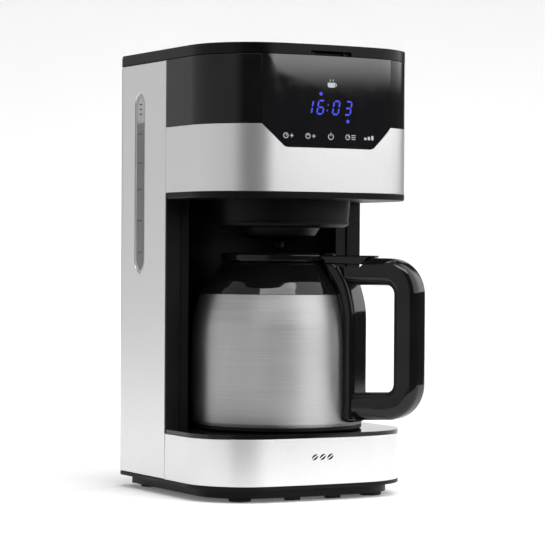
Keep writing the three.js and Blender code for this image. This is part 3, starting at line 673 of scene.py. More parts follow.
def make_base():
    """The silver band, the lip and lining behind it, the deck, the tray with its ribs, the feet."""
    low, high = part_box("base_band")
    left, right = rows_before_seams(BASE)
    wrapped("base_band_skin", BASE, [rectangle(-left, right, low.z, high.z)], SILVER,
            edge=0.4 * MM, replaces=["base_band"])
    lip_high = low.z - GAP
    slab("base_lip", [whole_outline(0)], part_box("base_shell")[LOW].z, lip_high, MATTE,
         top=0.2 * MM, bottom=0.8 * MM, replaces=["base_shell"])
    slab("base_liner", [whole_outline(3 * MM)], lip_high, high.z, MATTE_DARK, top=0, bottom=0)
    slab("jug_platform_skin", [deck_outline(BASE)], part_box("jug_platform")[LOW].z, DECK_TOP, GLOSS,
         top=1.2 * MM, replaces=["jug_platform"])
    plate_low, plate_high = (corner.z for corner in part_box("bottom_plate"))
    slab("bottom_tray", [whole_outline(TRAY_INSET)], plate_low, plate_high, MATTE,
         top=0.2 * MM, bottom=1.5 * MM, replaces=["bottom_plate"])
    for i, x in enumerate(RIB_X):
        rib = rectangle(x * MM, (x + RIB_LONG) * MM, BASE.front + RIB_Y[0], BASE.front + RIB_Y[1])
        slab(f"tray_rib_{i + 1}", [rib], RIB_LOW, plate_low + 0.5 * MM, MATTE, top=0)
    for name in FEET:
        make_foot(name)


def make_foot(name):
    """A round rubber pad in the place of a foot."""
    low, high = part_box(name)
    x, y = (low.x + high.x) / 2, (low.y + high.y) / 2
    radius, edge = (high.x - low.x) / 2, FOOT_EDGE
    profile = soften([(0, 0), (radius - edge, 0), (radius, edge), (radius, high.z), (0, high.z)], edge)
    turned(name + "_pad", profile, RUBBER, "machine", y, 48, [name], x)


def whole_outline(inset):
    """The whole plan of the base, drawn in."""
    end = BASE.ends[-1]
    return BASE.outline(-end, end - 1e-5, inset)


def deck_outline(plan):
    """The front part of the plan, with the round bay behind it."""
    back_left, back_right = SEAM_LEFT - BAY_WALL - GAP, SEAM_RIGHT - BAY_WALL - GAP
    radius = BAY_RADIUS - GAP
    start = math.asin((back_right - JUG_Y) / radius)
    end = math.pi - math.asin((back_left - JUG_Y) / radius)
    front = plan.outline(-plan.side_s(back_left), plan.side_s(back_right))
    return front + circle(0, JUG_Y, radius, 60, start, end)


# ---- column ----


def gauge_loop(grow, centre):
    """The outline of the level window in (s, z): straight sides, pointed arches at both ends."""
    low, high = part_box("gauge_window")
    half = (high.y - low.y) / 2 + GAP + grow
    z0, z1 = low.z - GAP - grow, high.z + GAP + grow
    arch, steps = GAUGE_ARCH, 10

    def quarter(start, middle, end):
        ts = [k / steps for k in range(steps)]
        return [tuple(Vector(start) * (1 - t) ** 2 + Vector(middle) * 2 * t * (1 - t) + Vector(end) * t * t)
                for t in ts]

    loop = quarter((-half, z0 + arch), (-half, z0 + arch / 3), (0, z0))
    loop += quarter((0, z0), (half, z0 + arch / 3), (half, z0 + arch))
    loop += quarter((half, z1 - arch), (half, z1 - arch / 3), (0, z1))
    loop += quarter((0, z1), (-half, z1 - arch / 3), (-half, z1 - arch))
    return [(centre + x, z) for x, z in loop]


PANEL_WRAP = 0.85 * MM


def make_column():
    """The two side panels, wrapped a little round the rear, with the level window in the left."""
    low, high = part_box("left_side_panel")
    edge = HEAD.ends[3] + PANEL_WRAP
    left, right = HEAD.side_s(SEAM_LEFT + GAP), HEAD.side_s(SEAM_RIGHT + GAP)
    window_low, window_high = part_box("gauge_window")
    centre = -HEAD.side_s((window_low.y + window_high.y) / 2)
    wrapped("left_panel_skin", HEAD, [rectangle(-edge, -left, low.z, high.z), gauge_loop(0, centre)],
            SILVER, edge=0.8 * MM, segments=4, replaces=["left_side_panel"])
    wrapped("right_panel_skin", HEAD, [rectangle(right, edge, low.z, high.z)], SILVER,
            edge=0.8 * MM, segments=4, replaces=["right_side_panel"])
    rim = [gauge_loop(-0.3 * MM, centre), gauge_loop(-2.3 * MM, centre)]
    wrapped("gauge_lens", HEAD, rim, RIM, depth=3 * MM, offset=0.6 * MM, edge=0.6 * MM)
    wrapped("gauge_column", HEAD, [gauge_loop(-2.5 * MM, centre)], GAUGE, depth=2.6 * MM,
            offset=0.9 * MM, edge=1.0 * MM, segments=4, replaces=["gauge_window"])
    make_level_marks(centre)
    make_bay_wall()


# Marks beside the water in millimetres: heights, then reach left and right, then thickness.
LEVEL_MARKS = ([196, 222, 248, 269.5, 293.5], 6.2, 2.5, 0.5)
FULL_MARKS = ([309.5, 313.5, 317.5], 2, 1.6, 1.0)
NOTCH_MARK = ([330.2], 1.6, 1.6, 2.2)


def make_level_marks(centre):
    """The scale beside the water: one line a cup, three short ones at the full mark, and a notch."""
    loops = []
    for heights, left, right, thick in (LEVEL_MARKS, FULL_MARKS, NOTCH_MARK):
        for z in heights:
            loops.append(rectangle(centre - left * MM, centre + right * MM, z * MM, (z + thick) * MM))
    for i, loop in enumerate(loops):
        wrapped(f"level_mark_{i + 1}", HEAD, [loop], MATTE_DARK, 0.4 * MM, offset=0.8 * MM, edge=0)


def make_bay_wall():
    """The round wall behind the jug, with its flat front strips; a fine step runs down each strip."""
    low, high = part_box("bay_wall")
    front_left, front_right = SEAM_LEFT - BAY_WALL, SEAM_RIGHT - BAY_WALL
    radius, wall = BAY_RADIUS, BAY_WALL
    start = math.asin((front_right - JUG_Y) / radius)
    end = math.pi - math.asin((front_left - JUG_Y) / radius)
    inner = circle(0, JUG_Y, radius, 72, start, end)
    outer = circle(0, JUG_Y, radius + wall, 72, start + 0.02, end - 0.02)[::-1]
    step, strip, thick = 1.2 * MM, 12.4 * MM, 2.2 * MM
    right_side = [(HALF, front_right + thick), (HALF, front_right), (HALF - strip, front_right),
                  (HALF - strip - step, front_right + step)]
    left_side = [(strip + step - HALF, front_left + step), (strip - HALF, front_left), (-HALF, front_left),
                 (-HALF, front_left + thick)]
    loop = right_side + inner + left_side + outer
    slab("bay_wall_skin", [loop], low.z, high.z, MATTE, top=0, bottom=0, replaces=["bay_wall"])


# ---- head ----


def lens_loop(plan, grow, top):
    """The lens in (s, z): straight sides, then a dip with slanted sides and soft lower corners."""
    side = plan.front_s(LENS_HALF + grow)
    dip = plan.front_s(LENS_DIP_HALF + grow)
    shoulder, low = HEAD_TOP + LENS_GAP - grow, LENS_LOW - grow
    points = [(-side, top), (-side, shoulder), (-dip, low), (dip, low), (side, shoulder), (side, top)]
    return soften(points, [0, 1.2 * MM, 7 * MM, 7 * MM, 1.2 * MM, 0], 8)


TUB_HOLE = 58.4 * MM


def make_head():
    """The silver band with the dip for the lens, the black panels beside it, the lens, the floor."""
    left, right = rows_before_seams(HEAD)
    dip = lens_loop(HEAD, LENS_GAP, LENS_TOP)[1:-1]
    dip = [p for p in dip if p[1] < HEAD_TOP - 0.05 * MM]
    shoulder = HEAD.front_s(LENS_HALF + LENS_GAP)
    band = [(-left, BAND_LOW), (right, BAND_LOW), (right, HEAD_TOP), (shoulder, HEAD_TOP)]
    band += dip[::-1] + [(-shoulder, HEAD_TOP), (-left, HEAD_TOP)]
    wrapped("head_band_skin", HEAD, [band], SILVER, edge=0.4 * MM, replaces=["head_band"])

    low = HEAD_TOP + GAP
    wrapped("upper_skin_left", HEAD, [rectangle(-left, -shoulder, low, LENS_TOP)], GLOSS,
            edge=0.25 * MM, replaces=["upper_panel_left"])
    wrapped("upper_skin_right", HEAD, [rectangle(shoulder, right, low, LENS_TOP)], GLOSS,
            edge=0.25 * MM, replaces=["upper_panel_right"])
    wrapped("front_lens_sheet", HEAD, [lens_loop(HEAD, 0, LENS_TOP)], LENS,
            edge=0.3 * MM, replaces=["front_lens"])

    low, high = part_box("head_floor")
    hole = circle(0, BREW_Y, TUB_HOLE)
    slab("head_floor_skin", [deck_outline(HEAD), hole], low.z, high.z, MATTE,
         top=0.2 * MM, bottom=1.4 * MM, replaces=["head_floor"])


# The display's marks are drawn in millimetres.
SEGMENTS = {"0": "abcdef", "1": "bc", "3": "abgcd", "6": "afgedc"}
DIGITS = [("1", -23), ("6", -13), ("0", 1), ("3", 12.2)]
DIGIT_LOW, DIGIT_HEIGHT, DIGIT_WIDTH = 305.5, 10.4, 5.2
STROKE, STROKE_GAP, SLANT = 1.35, 0.35, 0.17
COLON_X, COLON_RISES, COLON_DOT = -4.1, (2.9, 7.3), 0.6
LIT_DOTS, LIT_DOT = [(-9.4, 321.3), (15.4, 300.3)], 1.45
KEY_Z, KEY_STROKE = 287.9, 0.55
CUP_Z, CUP_STROKE = 329.5, 0.5


def digit_bars(symbol, left, low):
    """The lit bars of one seven-segment digit, as hexagons in (s, z)."""
    w, h, t, gap = DIGIT_WIDTH, DIGIT_HEIGHT, STROKE / 2, STROKE_GAP
    ends = {"a": ((0, h), (w, h)), "d": ((0, 0), (w, 0)), "g": ((0, h / 2), (w, h / 2)),
            "f": ((0, h / 2), (0, h)), "b": ((w, h / 2), (w, h)), "e": ((0, 0), (0, h / 2)),
            "c": ((w, 0), (w, h / 2))}
    bars = []
    for key in SEGMENTS[symbol]:
        (x0, z0), (x1, z1) = ends[key]
        if z0 == z1:
            bar = [(x0 + gap, z0), (x0 + gap + t, z0 - t), (x1 - gap - t, z0 - t), (x1 - gap, z0),
                   (x1 - gap - t, z0 + t), (x0 + gap + t, z0 + t)]
        else:
            bar = [(x0, z0 + gap), (x0 + t, z0 + gap + t), (x0 + t, z1 - gap - t), (x0, z1 - gap),
                   (x0 - t, z1 - gap - t), (x0 - t, z0 + gap + t)]
        bars.append([(left + x + SLANT * z, low + z) for x, z in bar])
    return bars


def inlay(name, marks, finish, depth=0.3 * MM, proud=0.04 * MM):
    """Several flat marks, joined into one mesh and bent to the face of the lens."""
    joined = bmesh.new()
    for loops in marks:
        bm = filled([scaled(loop) for loop in loops])
        thicken(bm, depth)
        mesh = bpy.data.meshes.new("scratch")
        bm.to_mesh(mesh)
        bm.free()
        joined.from_mesh(mesh)
        bpy.data.meshes.remove(mesh)
    for vert in joined.verts:
        point, _ = HEAD.at(vert.co.x, vert.co.y - proud)
        vert.co.x, vert.co.y = point
    return finish_object(name, joined, finish, "machine", weighted=False)


def dot(x, z, radius):
    return circle(x, z, radius, 20)


def ring_mark(x, z, radius, stroke, gap=0.0):
    """A circle line, open at its top if a gap is given."""
    start, end = math.pi / 2 + gap, math.pi / 2 + 2 * math.pi - gap
    if not gap:
        return [circle(x, z, radius, 32), circle(x, z, radius - stroke, 32)]
    outer = circle(x, z, radius, 32, start, end)
    return [outer + circle(x, z, radius - stroke, 32, start, end)[::-1]]


def bar_mark(x0, z0, x1, z1, stroke):
    along = (Vector((x1, z1)) - Vector((x0, z0))).normalized()
    side = Vector((-along.y, along.x)) * stroke / 2
    ends = [Vector((x0, z0)), Vector((x1, z1))]
    return [[tuple(ends[0] - side), tuple(ends[1] - side), tuple(ends[1] + side), tuple(ends[0] + side)]]


def make_display():
    """The clock, the icons below it and the cup above it."""
    bars = []
    for symbol, left in DIGITS:
        bars += [[bar] for bar in digit_bars(symbol, left, DIGIT_LOW)]
    bars += [[dot(COLON_X + SLANT * rise, DIGIT_LOW + rise, COLON_DOT)] for rise in COLON_RISES]
    bars += [[dot(x, z, LIT_DOT)] for x, z in LIT_DOTS]
    inlay("clock_digits", bars, BLUE_LIGHT)
    # The key marks and the cup below are print, shown with a painted glow.
    inlay("key_marks_painted_glow", key_icons(KEY_Z, KEY_STROKE), PRINT_MARK_PAINTED_GLOW)
    inlay("front_mark", cup_icon(0, CUP_Z, CUP_STROKE), PRINT_MARK_PAINTED_GLOW)


def key_icons(z, stroke):
    """Five generic icons: hours, minutes, power, timer and brewing mode."""
    marks = []
    for x, hand in ((-39.6, (1.1, 0.9)), (-20.6, (0, 1.6))):
        marks.append(ring_mark(x, z, 2.2, stroke))
        marks.append(bar_mark(x, z, x + hand[0], z + hand[1], stroke))
        marks.append(bar_mark(x + 3.6, z, x + 6.6, z, stroke))
        marks.append(bar_mark(x + 5.1, z - 1.5, x + 5.1, z + 1.5, stroke))
    marks.append(ring_mark(-0.2, z, 2.5, stroke, 0.6))
    marks.append(bar_mark(-0.2, z + 0.5, -0.2, z + 3.2, stroke))
    marks.append(ring_mark(15.4, z, 2.2, stroke))
    marks.append(bar_mark(15.4, z, 16.5, z + 0.9, stroke))
    for k in (-1, 0, 1):
        marks.append(bar_mark(19, z + 1.5 * k, 22.8, z + 1.5 * k, stroke))
    for k in range(3):
        x = 32.4 + 3.5 * k
        marks.append([rectangle(x - 1.1, x + 1.1, z - 1.6, z + 0.2 + 0.8 * k)])
    return marks


def cup_icon(x, z, stroke):
    """A plain cup with a handle and two wisps of steam."""
    half, low, high = 3.4, z - 3, z + 0.8
    cup = soften([(x - half, high), (x - half, low), (x + half, low), (x + half, high)], [0, 1.8, 1.8, 0])
    right = (-math.pi / 2, math.pi / 2)
    ear = circle(x + half, z - 0.9, 1.5, 14, *right) + circle(x + half, z - 0.9, 0.9, 14, *right)[::-1]
    marks = [[cup], [ear]]
    for shift in (-1.3, 1.3):
        marks.append(bar_mark(x + shift, z + 1.7, x + shift + 0.5, z + 3.4, stroke))
    return marks


BEANS_X, BEAN_Z, BEAN_SIZE = (-7, 0, 7), 35, 3.2
BEAN_SEAM, BEAN_TURN, BEAN_FLAT = 0.25, (0.82, 0.57), 0.62


def bean_mark(x, z, size):
    """A coffee bean: an oval in two halves with its slanted seam left open."""
    cosine, sine = BEAN_TURN
    halves = []
    for start in (BEAN_SEAM, math.pi + BEAN_SEAM):
        half = []
        for k in range(13):
            angle = start + (math.pi - 2 * BEAN_SEAM) * k / 12
            along, across = size * math.cos(angle), BEAN_FLAT * size * math.sin(angle)
            half.append((x + cosine * along - sine * across, z + sine * along + cosine * across))
        halves.append(half)
    return halves


def make_base_mark():
    """Three beans on the front of the base, where the maker's line name would be."""
    loops = [half for x in BEANS_X for half in bean_mark(x, BEAN_Z, BEAN_SIZE)]
    for i, loop in enumerate(loops):
        wrapped(f"base_mark_{i + 1}", BASE, [scaled(loop)], MATTE, 0.3 * MM, offset=-0.02 * MM, edge=0)


# ---- lid ----


def carve(obj, cutter):
    """Cuts the cutter out of obj's mesh, and removes the cutter."""
    modifier = obj.modifiers.new("carve", "BOOLEAN")
    modifier.object = cutter
    modifier.solver = "EXACT"
    obj.modifiers.move(len(obj.modifiers) - 1, 0)
    names = [m.name for m in obj.modifiers if m.name != "carve"]
    for name in names:
        obj.modifiers[name].show_viewport = False
    bpy.context.view_layer.update()
    graph = bpy.context.evaluated_depsgraph_get()
    mesh = bpy.data.meshes.new_from_object(obj.evaluated_get(graph))
    obj.modifiers.remove(obj.modifiers["carve"])
    for name in names:
        obj.modifiers[name].show_viewport = True
    old = obj.data
    obj.data = mesh
    bpy.data.meshes.remove(old)
    bpy.data.objects.remove(cutter)


def cutter_box(x0, x1, y0, y1, z0, z1, round_edge=0.0):
    """A block to cut with, its edges rounded if asked."""
    bm = bmesh.new()
    bmesh.ops.create_cube(bm, size=1)
    for vert in bm.verts:
        vert.co = Vector(((x0 + x1) / 2 + vert.co.x * (x1 - x0), (y0 + y1) / 2 + vert.co.y * (y1 - y0),
                          (z0 + z1) / 2 + vert.co.z * (z1 - z0)))
    if round_edge:
        bevel(bm, bm.edges[:], round_edge, 3)
    return cutter_of(bm)


LID_RIM, LID_ROOF, CUT_PAST = 4 * MM, 2.6 * MM, 3 * MM
FINGER_HALF, FINGER_RISE, FINGER_DEPTH = 18.5 * MM, 3.4 * MM, 1.5 * MM
HINGE_GAPS = ((-70.4 * MM, -61.6 * MM), (61.6 * MM, 70.4 * MM))


def make_lid():
    """The lid: a block with the machine's front, hollowed from below, with a finger notch at
    its front edge and two gaps for the hinge at its rear."""
    reach = HEAD.side_s(LID_END + 3.9 * MM)
    lid = slab("top_lid_skin", [HEAD.outline(-reach, reach)], LID_LOW, LID_TOP, LID, "top_lid",
               top=1.7 * MM, segments=2, replaces=["top_lid"])
    carve(lid, cutter_box(-FINGER_HALF, FINGER_HALF, HEAD_FRONT - 9 * MM, HEAD_FRONT + FINGER_DEPTH,
                          LID_LOW - CUT_PAST, LID_LOW + FINGER_RISE, 1.2 * MM))
    reach = HEAD.side_s(LID_END - 9 * MM)
    pocket = plate([HEAD.outline(-reach, reach, LID_RIM)], LID_LOW - CUT_PAST, LID_TOP - LID_ROOF, 0, 0, 1)
    carve(lid, cutter_of(pocket))
    for left, right in HINGE_GAPS:
        carve(lid, cutter_box(left, right, LID_END - 5.5 * MM, LID_END + 20 * MM,
                              LID_LOW - CUT_PAST, LID_TOP + CUT_PAST))


# ---- brewing parts ----


SPRING_WIRE, SPRING_TURNS, SPRING_TRAVEL = 0.6 * MM, 5, 3 * MM
BAIL_RADIUS, BAIL_Z = 53 * MM, 331.6 * MM

# Profiles of turned pieces, (radius, z) in millimetres.
FUNNEL = [(5, 208), (14, 206), (30, 210), (34, 216.7)]
BASKET = [(6, 239), (34, 239), (51, 325.8), (56, 326), (56, 329), (49.4, 329), (32.6, 241), (6, 241)]
GAUZE_CUP = [(0, 243), (29, 243), (45, 325), (47.5, 325.2), (47.5, 327), (43.6, 327), (28, 244.2),
             (0, 244.2)]


def make_drip_spring():
    """The coil over the drip valve; on the machine it shortens against the bridge as the valve lifts, but
    here it keeps its full length.
    """
    low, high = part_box("drip_spring")
    middle, steps = (low + high) / 2, SPRING_TURNS * 24
    radius = (high.x - low.x) / 2 - SPRING_WIRE
    length = high.z - low.z - 2 * SPRING_WIRE
    points = []
    for k in range(steps + 1):
        angle = 2 * math.pi * k / 24
        points.append((middle.x + radius * math.cos(angle), middle.y + radius * math.sin(angle),
                       low.z + SPRING_WIRE + length * k / steps))
    spring = swept("drip_spring_coil", points, SPRING_WIRE, METAL, "drip_stop", 10, ["drip_spring"])
    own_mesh(spring)


def make_brewing():
    """The tub with its rim, the funnel, the filter basket, its gauze and its bail."""
    make_drip_spring()
    low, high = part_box("brew_tub")
    floor, top = low.z / MM, high.z / MM
    tub = [(0, floor), (51.5, floor), (55.2, floor + 1.6), (55.6, floor + 4), (57.8, 244), (57.8, top)]
    inner = [(55.8, top), (55.8, 243), (52.4, floor + 2.2), (0, floor + 2.2)]
    outer = soften(scaled(tub), [0, 2.5 * MM, 2 * MM, 2 * MM, 0, 0])
    turned("brew_tub_skin", outer + scaled(inner), MATTE, "machine", BREW_Y, 144, ["brew_tub"])
    rib = [(55.2, floor + 2.4), (56.1, floor + 2.6), (56.1, floor + 4.4), (55.4, floor + 4.6)]
    turned("brew_tub_rim", soften(scaled(rib), 0.3 * MM), MATTE, "machine", BREW_Y, 144)
    funnel = soften(scaled(FUNNEL), 3 * MM) + scaled([(FUNNEL[0][0], FUNNEL[-1][1])])
    turned("drip_funnel_skin", funnel, MATTE, "machine", JUG_Y, 96, ["drip_funnel"])
    turned("filter_basket_skin", soften(scaled(BASKET), 0.8 * MM), MATTE, "machine", BREW_Y, 96,
           ["filter_basket"])
    turned("permanent_filter_skin", soften(scaled(GAUZE_CUP), 0.6 * MM), GAUZE, "machine", BREW_Y, 96,
           ["permanent_filter"])
    angles = [math.pi + math.pi * k / 40 for k in range(41)]
    bail = [(BAIL_RADIUS * math.cos(a), BREW_Y + BAIL_RADIUS * math.sin(a), BAIL_Z) for a in angles]
    swept("basket_bail_bar", bail, 1.6 * MM, MATTE, "machine", 14, ["basket_bail"])


# ---- jug ----

# Profiles of the jug, (radius, z) in millimetres, and the radii that round their corners.
JUG_BODY = [(68.6, 57.7), (69.9, 60.2), (70.5, 66), (70.9, 76), (70.9, 124), (70.1, 140), (68.1, 150),
            (64.5, 163)]
JUG_BODY_ROUNDS = [0, 3, 14, 20, 60, 45, 25, 0]
COLLAR = [(64.6, 163.3), (62, 168), (58.3, 173.5), (54.2, 178.6), (49.5, 183.8), (45.4, 188.6)]
COLLAR_INSIDE = [(41, 188.8), (41, 170.3), (43.4, 170.3), (43.4, 163.3)]
JUG_SEAM = [(70.85, 79.4), (71.0, 79.7), (71.0, 80.1), (70.85, 80.4)]
JUG_FOOT = [(0, 53.8), (67.6, 53.8), (69, 54.8), (69, 57.4), (0, 57.4)]
JUG_LID = [(7, 160), (36, 160), (38, 162), (38, 166.2), (39.8, 166.2), (39.8, 189.2), (46.4, 189.2),
           (47.4, 190.6), (47.4, 194.4), (46.2, 196.2), (41.5, 196.2), (38, 194.6), (12, 192.8),
           (7, 192), (7, 160)]
JUG_LID_ROUNDS = [0, 0, 0.4, 0.3, 0.3, 0.4, 0.5, 1, 1.5, 1.5, 1.5, 3, 2, 1, 0]
HANDLE_FRAME = Matrix.Translation((0, JUG_Y, 0)) @ Matrix.Rotation(HANDLE_ANGLE, 4, "Z")


def rounded(points, radii, steps):
    """A profile given in millimetres with its corners rounded, in metres."""
    return soften(scaled(points), [radius * MM for radius in radii], steps)


def make_jug():
    """The steel body with its seam, its foot and its collar, then the lid and the handle."""
    body = rounded(JUG_BODY, JUG_BODY_ROUNDS, 8)
    turned("jug_steel", shell_profile(body, 1 * MM), STEEL, "jug", JUG_Y, 192, ["jug_shell"])
    turned("jug_seam", scaled(JUG_SEAM), STEEL, "jug", JUG_Y, 192)
    turned("jug_foot_ring", soften(scaled(JUG_FOOT), 0.6 * MM), MATTE, "jug", JUG_Y, 160, ["jug_foot"])
    collar = soften(scaled(COLLAR), 30 * MM, 8) + scaled(COLLAR_INSIDE)
    turned("jug_collar_skin", collar, GLOSS, "jug", JUG_Y, 160, ["jug_collar"])
    make_jug_lid()
    make_handle()


def make_jug_lid():
    """The jug's lid, notched above the handle for the thumb lever."""
    profile = rounded(JUG_LID, JUG_LID_ROUNDS, 6)
    lid = turned("jug_lid_skin", profile[:-1], GLOSS, "jug_lid", JUG_Y, 160, ["jug_lid"])
    notch = cutter_box(29 * MM, 60 * MM, -10.2 * MM, 10.2 * MM, 189 * MM, 205 * MM)
    notch.matrix_world = HANDLE_FRAME
    carve(lid, notch)


def upright_prism(loops, half, edge, segments):
    """A shape drawn in (radius, z), thick across the handle, with rounded edges."""
    bm = filled(loops)
    thicken(bm, 2 * half)
    bmesh.ops.translate(bm, vec=(0, -half, 0), verts=bm.verts)
    if edge:
        bevel(bm, rim_edges(bm, lambda co: True), edge, segments)
    return bm


def arc_line(points, radii, steps=12):
    """Straight lines joined by true arcs, in millimetres, as (radius, z) metres."""
    line = [Vector(points[0])]
    for i in range(1, len(points) - 1):
        before, here, after = (Vector(points[k]) for k in (i - 1, i, i + 1))
        back, on = (before - here).normalized(), (after - here).normalized()
        half_turn = (math.pi - back.angle(on)) / 2
        reach = radii[i - 1] * math.tan(half_turn)
        centre = here + (back + on).normalized() * radii[i - 1] / math.cos(half_turn)
        start, end = here + back * reach - centre, here + on * reach - centre
        sweep = start.angle_signed(end)
        for k in range(steps + 1):
            turn = Matrix.Rotation(-sweep * k / steps, 2)
            line.append(centre + turn @ start)
    line.append(Vector(points[-1]))
    return [Vector((p.x * MM, p.y * MM)) for p in line]


def jug_room(clear):
    """A cutter of the jug's own outline, grown by clear."""
    outline = [(0, 50), (JUG_BODY[0][0], 50), *JUG_BODY, *COLLAR, (COLLAR[-1][0], 199), (0, 199)]
    bm = bmesh.new()
    rings = []
    for radius, z in outline:
        grown = (radius + clear) * MM if radius else 0.1 * MM
        rings.append([bm.verts.new((x, y, z * MM)) for x, y in circle(0, JUG_Y, grown, 120)])
    skin_rings(bm, rings)
    return cutter_of(bm)


# The handle in (radius, z), in millimetres: centre lines with the radii of their bends, the room
# cut out for the thumb lever, and the lever's own side.
GRIP_PATH, GRIP_BENDS = [(70, 181.9), (124, 181.6), (124, 76), (70, 73.8)], [18, 18]
STRAP_PATH, STRAP_BENDS = [(72.6, 64), (72.6, 152), (67.2, 170), (56.5, 186)], [60, 40]
LEVER_ROOM = [(40, 185.4), (84.5, 185.4), (92.75, 193.3), (99.7, 200), (40, 200)]
LEVER_SIDE = [(30, 190.4), (49.5, 190.4), (49.5, 187.4), (84, 187.4), (91.5, 194.6), (30, 194.6)]
GRIP_TOP, GRIP_MIDDLE, GRIP_FOOT = 10.9 * MM, 10 * MM, 11.1 * MM
GRIP_TOP_Z, GRIP_FOOT_Z = 160 * MM, 97 * MM


def grip_halves(path):
    """Half the grip's thickness along its path: slimmer at the middle, with even changes."""
    halves = [GRIP_TOP if p.y > GRIP_TOP_Z else GRIP_MIDDLE if p.y > GRIP_FOOT_Z else GRIP_FOOT
              for p in path]
    for _ in range(6):
        padded = halves[:1] + halves + halves[-1:]
        halves = [(a + 2 * b + c) / 4 for a, b, c in zip(padded, padded[1:], padded[2:])]
    return halves


def handle_piece(name, bm, body="jug", replaces=(), clear=None):
    """Turns a piece to the handle's side and, where clear is given in millimetres, cuts it free
    of the thumb lever and of the jug."""
    bmesh.ops.transform(bm, matrix=HANDLE_FRAME, verts=bm.verts)
    piece = finish_object(name, bm, GLOSS, body, replaces)
    if clear:
        room = upright_prism([scaled(LEVER_ROOM)], 20 * MM, 0, 0)
        bmesh.ops.transform(room, matrix=HANDLE_FRAME, verts=room.verts)
        carve(piece, cutter_of(room))
        carve(piece, jug_room(clear))


def make_handle():
    """The grip, the strap that holds it to the jug, and the thumb lever."""
    path = arc_line(GRIP_PATH, GRIP_BENDS, 16)
    grip = swept_bar(path, grip_halves(path), 11 * MM, 7.5 * MM)
    handle_piece("handle_grip", grip, replaces=["jug_handle"], clear=1.5)
    path = arc_line(STRAP_PATH, STRAP_BENDS, 8)
    strap = swept_bar(path, [6.4 * MM] * len(path), 12.5 * MM, 5 * MM, 3 * MM)
    handle_piece("handle_strap", strap, clear=0.4)
    lever = upright_prism([scaled(LEVER_SIDE)], 9.6 * MM, 1.3 * MM, 4)
    handle_piece("thumb_lever_skin", lever, "thumb_lever", ["thumb_lever"])


# ---- carried-over CAD nodes ----


def assign_materials():
    """Gives every CAD node that keeps its own mesh the material of its slot."""
    kept = (SILVER, GLOSS, MATTE, METAL, STEEL, SMOKED, RUBBER, SILICONE, ALUMINIUM, BOARD, BLUE_LIGHT)
    by_slot = {finish.slot: finish.material for finish in kept}
    # The drip valve, its bridge and the spray head get near-black matte plastic in place of their slot's
    # material: painted shade, for the shade they sit in under the tub.
    painted_shade_nodes = {"drip_valve", "valve_bridge", "spray_head"}
    for entry in frame["record"]["subparts"]:
        node = frame["nodes"][entry["node"]]
        node.data.materials.clear()
        dark = entry["node"] in painted_shade_nodes
        node.data.materials.append(MATTE_DARK.material if dark else by_slot[entry["material_slot"]])


# ---- stage ----


STAGE_FRONT, STAGE_BACK, STAGE_BEND, STAGE_TOP, STAGE_HALF = -0.36, 2.6, 1.5, 5.0, 1.4


def make_stage():
    """A white floor that curves up behind the machine, lit a little from within, as paper that
    has its own lamps behind it."""
    profile = [(STAGE_FRONT, 0.0), (STAGE_BACK, 0.0)]
    for k in range(1, 17):
        angle = math.pi / 2 * k / 16
        profile.append((STAGE_BACK + STAGE_BEND * math.sin(angle), STAGE_BEND * (1 - math.cos(angle))))
    profile.append((STAGE_BACK + STAGE_BEND, STAGE_TOP))
    bm = bmesh.new()
    rows = [[bm.verts.new((x, y, z)) for x in (-STAGE_HALF, STAGE_HALF)] for y, z in profile]
    for a, b in zip(rows, rows[1:]):
        bm.faces.new((a[0], a[1], b[1], b[0])).smooth = True
    floor = new_object("stage", bm)
    look = Look("stage_paper", 0.8, Emission_Strength=0.12)
    look.shader.inputs["Emission Color"].default_value = (1, 1, 1, 1)
    look.colour(look.spread(3, 2, (0.88, 0.88, 0.88), (0.9, 0.9, 0.9)))
    floor.data.materials.append(look.material)
    floor.rotation_euler.z = -VIEW_ANGLE


def area_light(name, azimuth, distance, height, size_x, size_y, power, aim=0.2):
    """A soft box at an azimuth measured from the front, positive to the machine's right."""
    data = bpy.data.lights.new(name, "AREA")
    data.shape = "RECTANGLE"
    data.size, data.size_y = size_x, size_y
    data.energy = power
    light = bpy.data.objects.new(name, data)
    bpy.context.scene.collection.objects.link(light)
    angle = math.radians(azimuth)
    place = Vector((math.sin(angle) * distance, -math.cos(angle) * distance, height))
    light.location = place
    light.rotation_euler = (Vector((0, 0, aim)) - place).to_track_quat("-Z", "Y").to_euler()


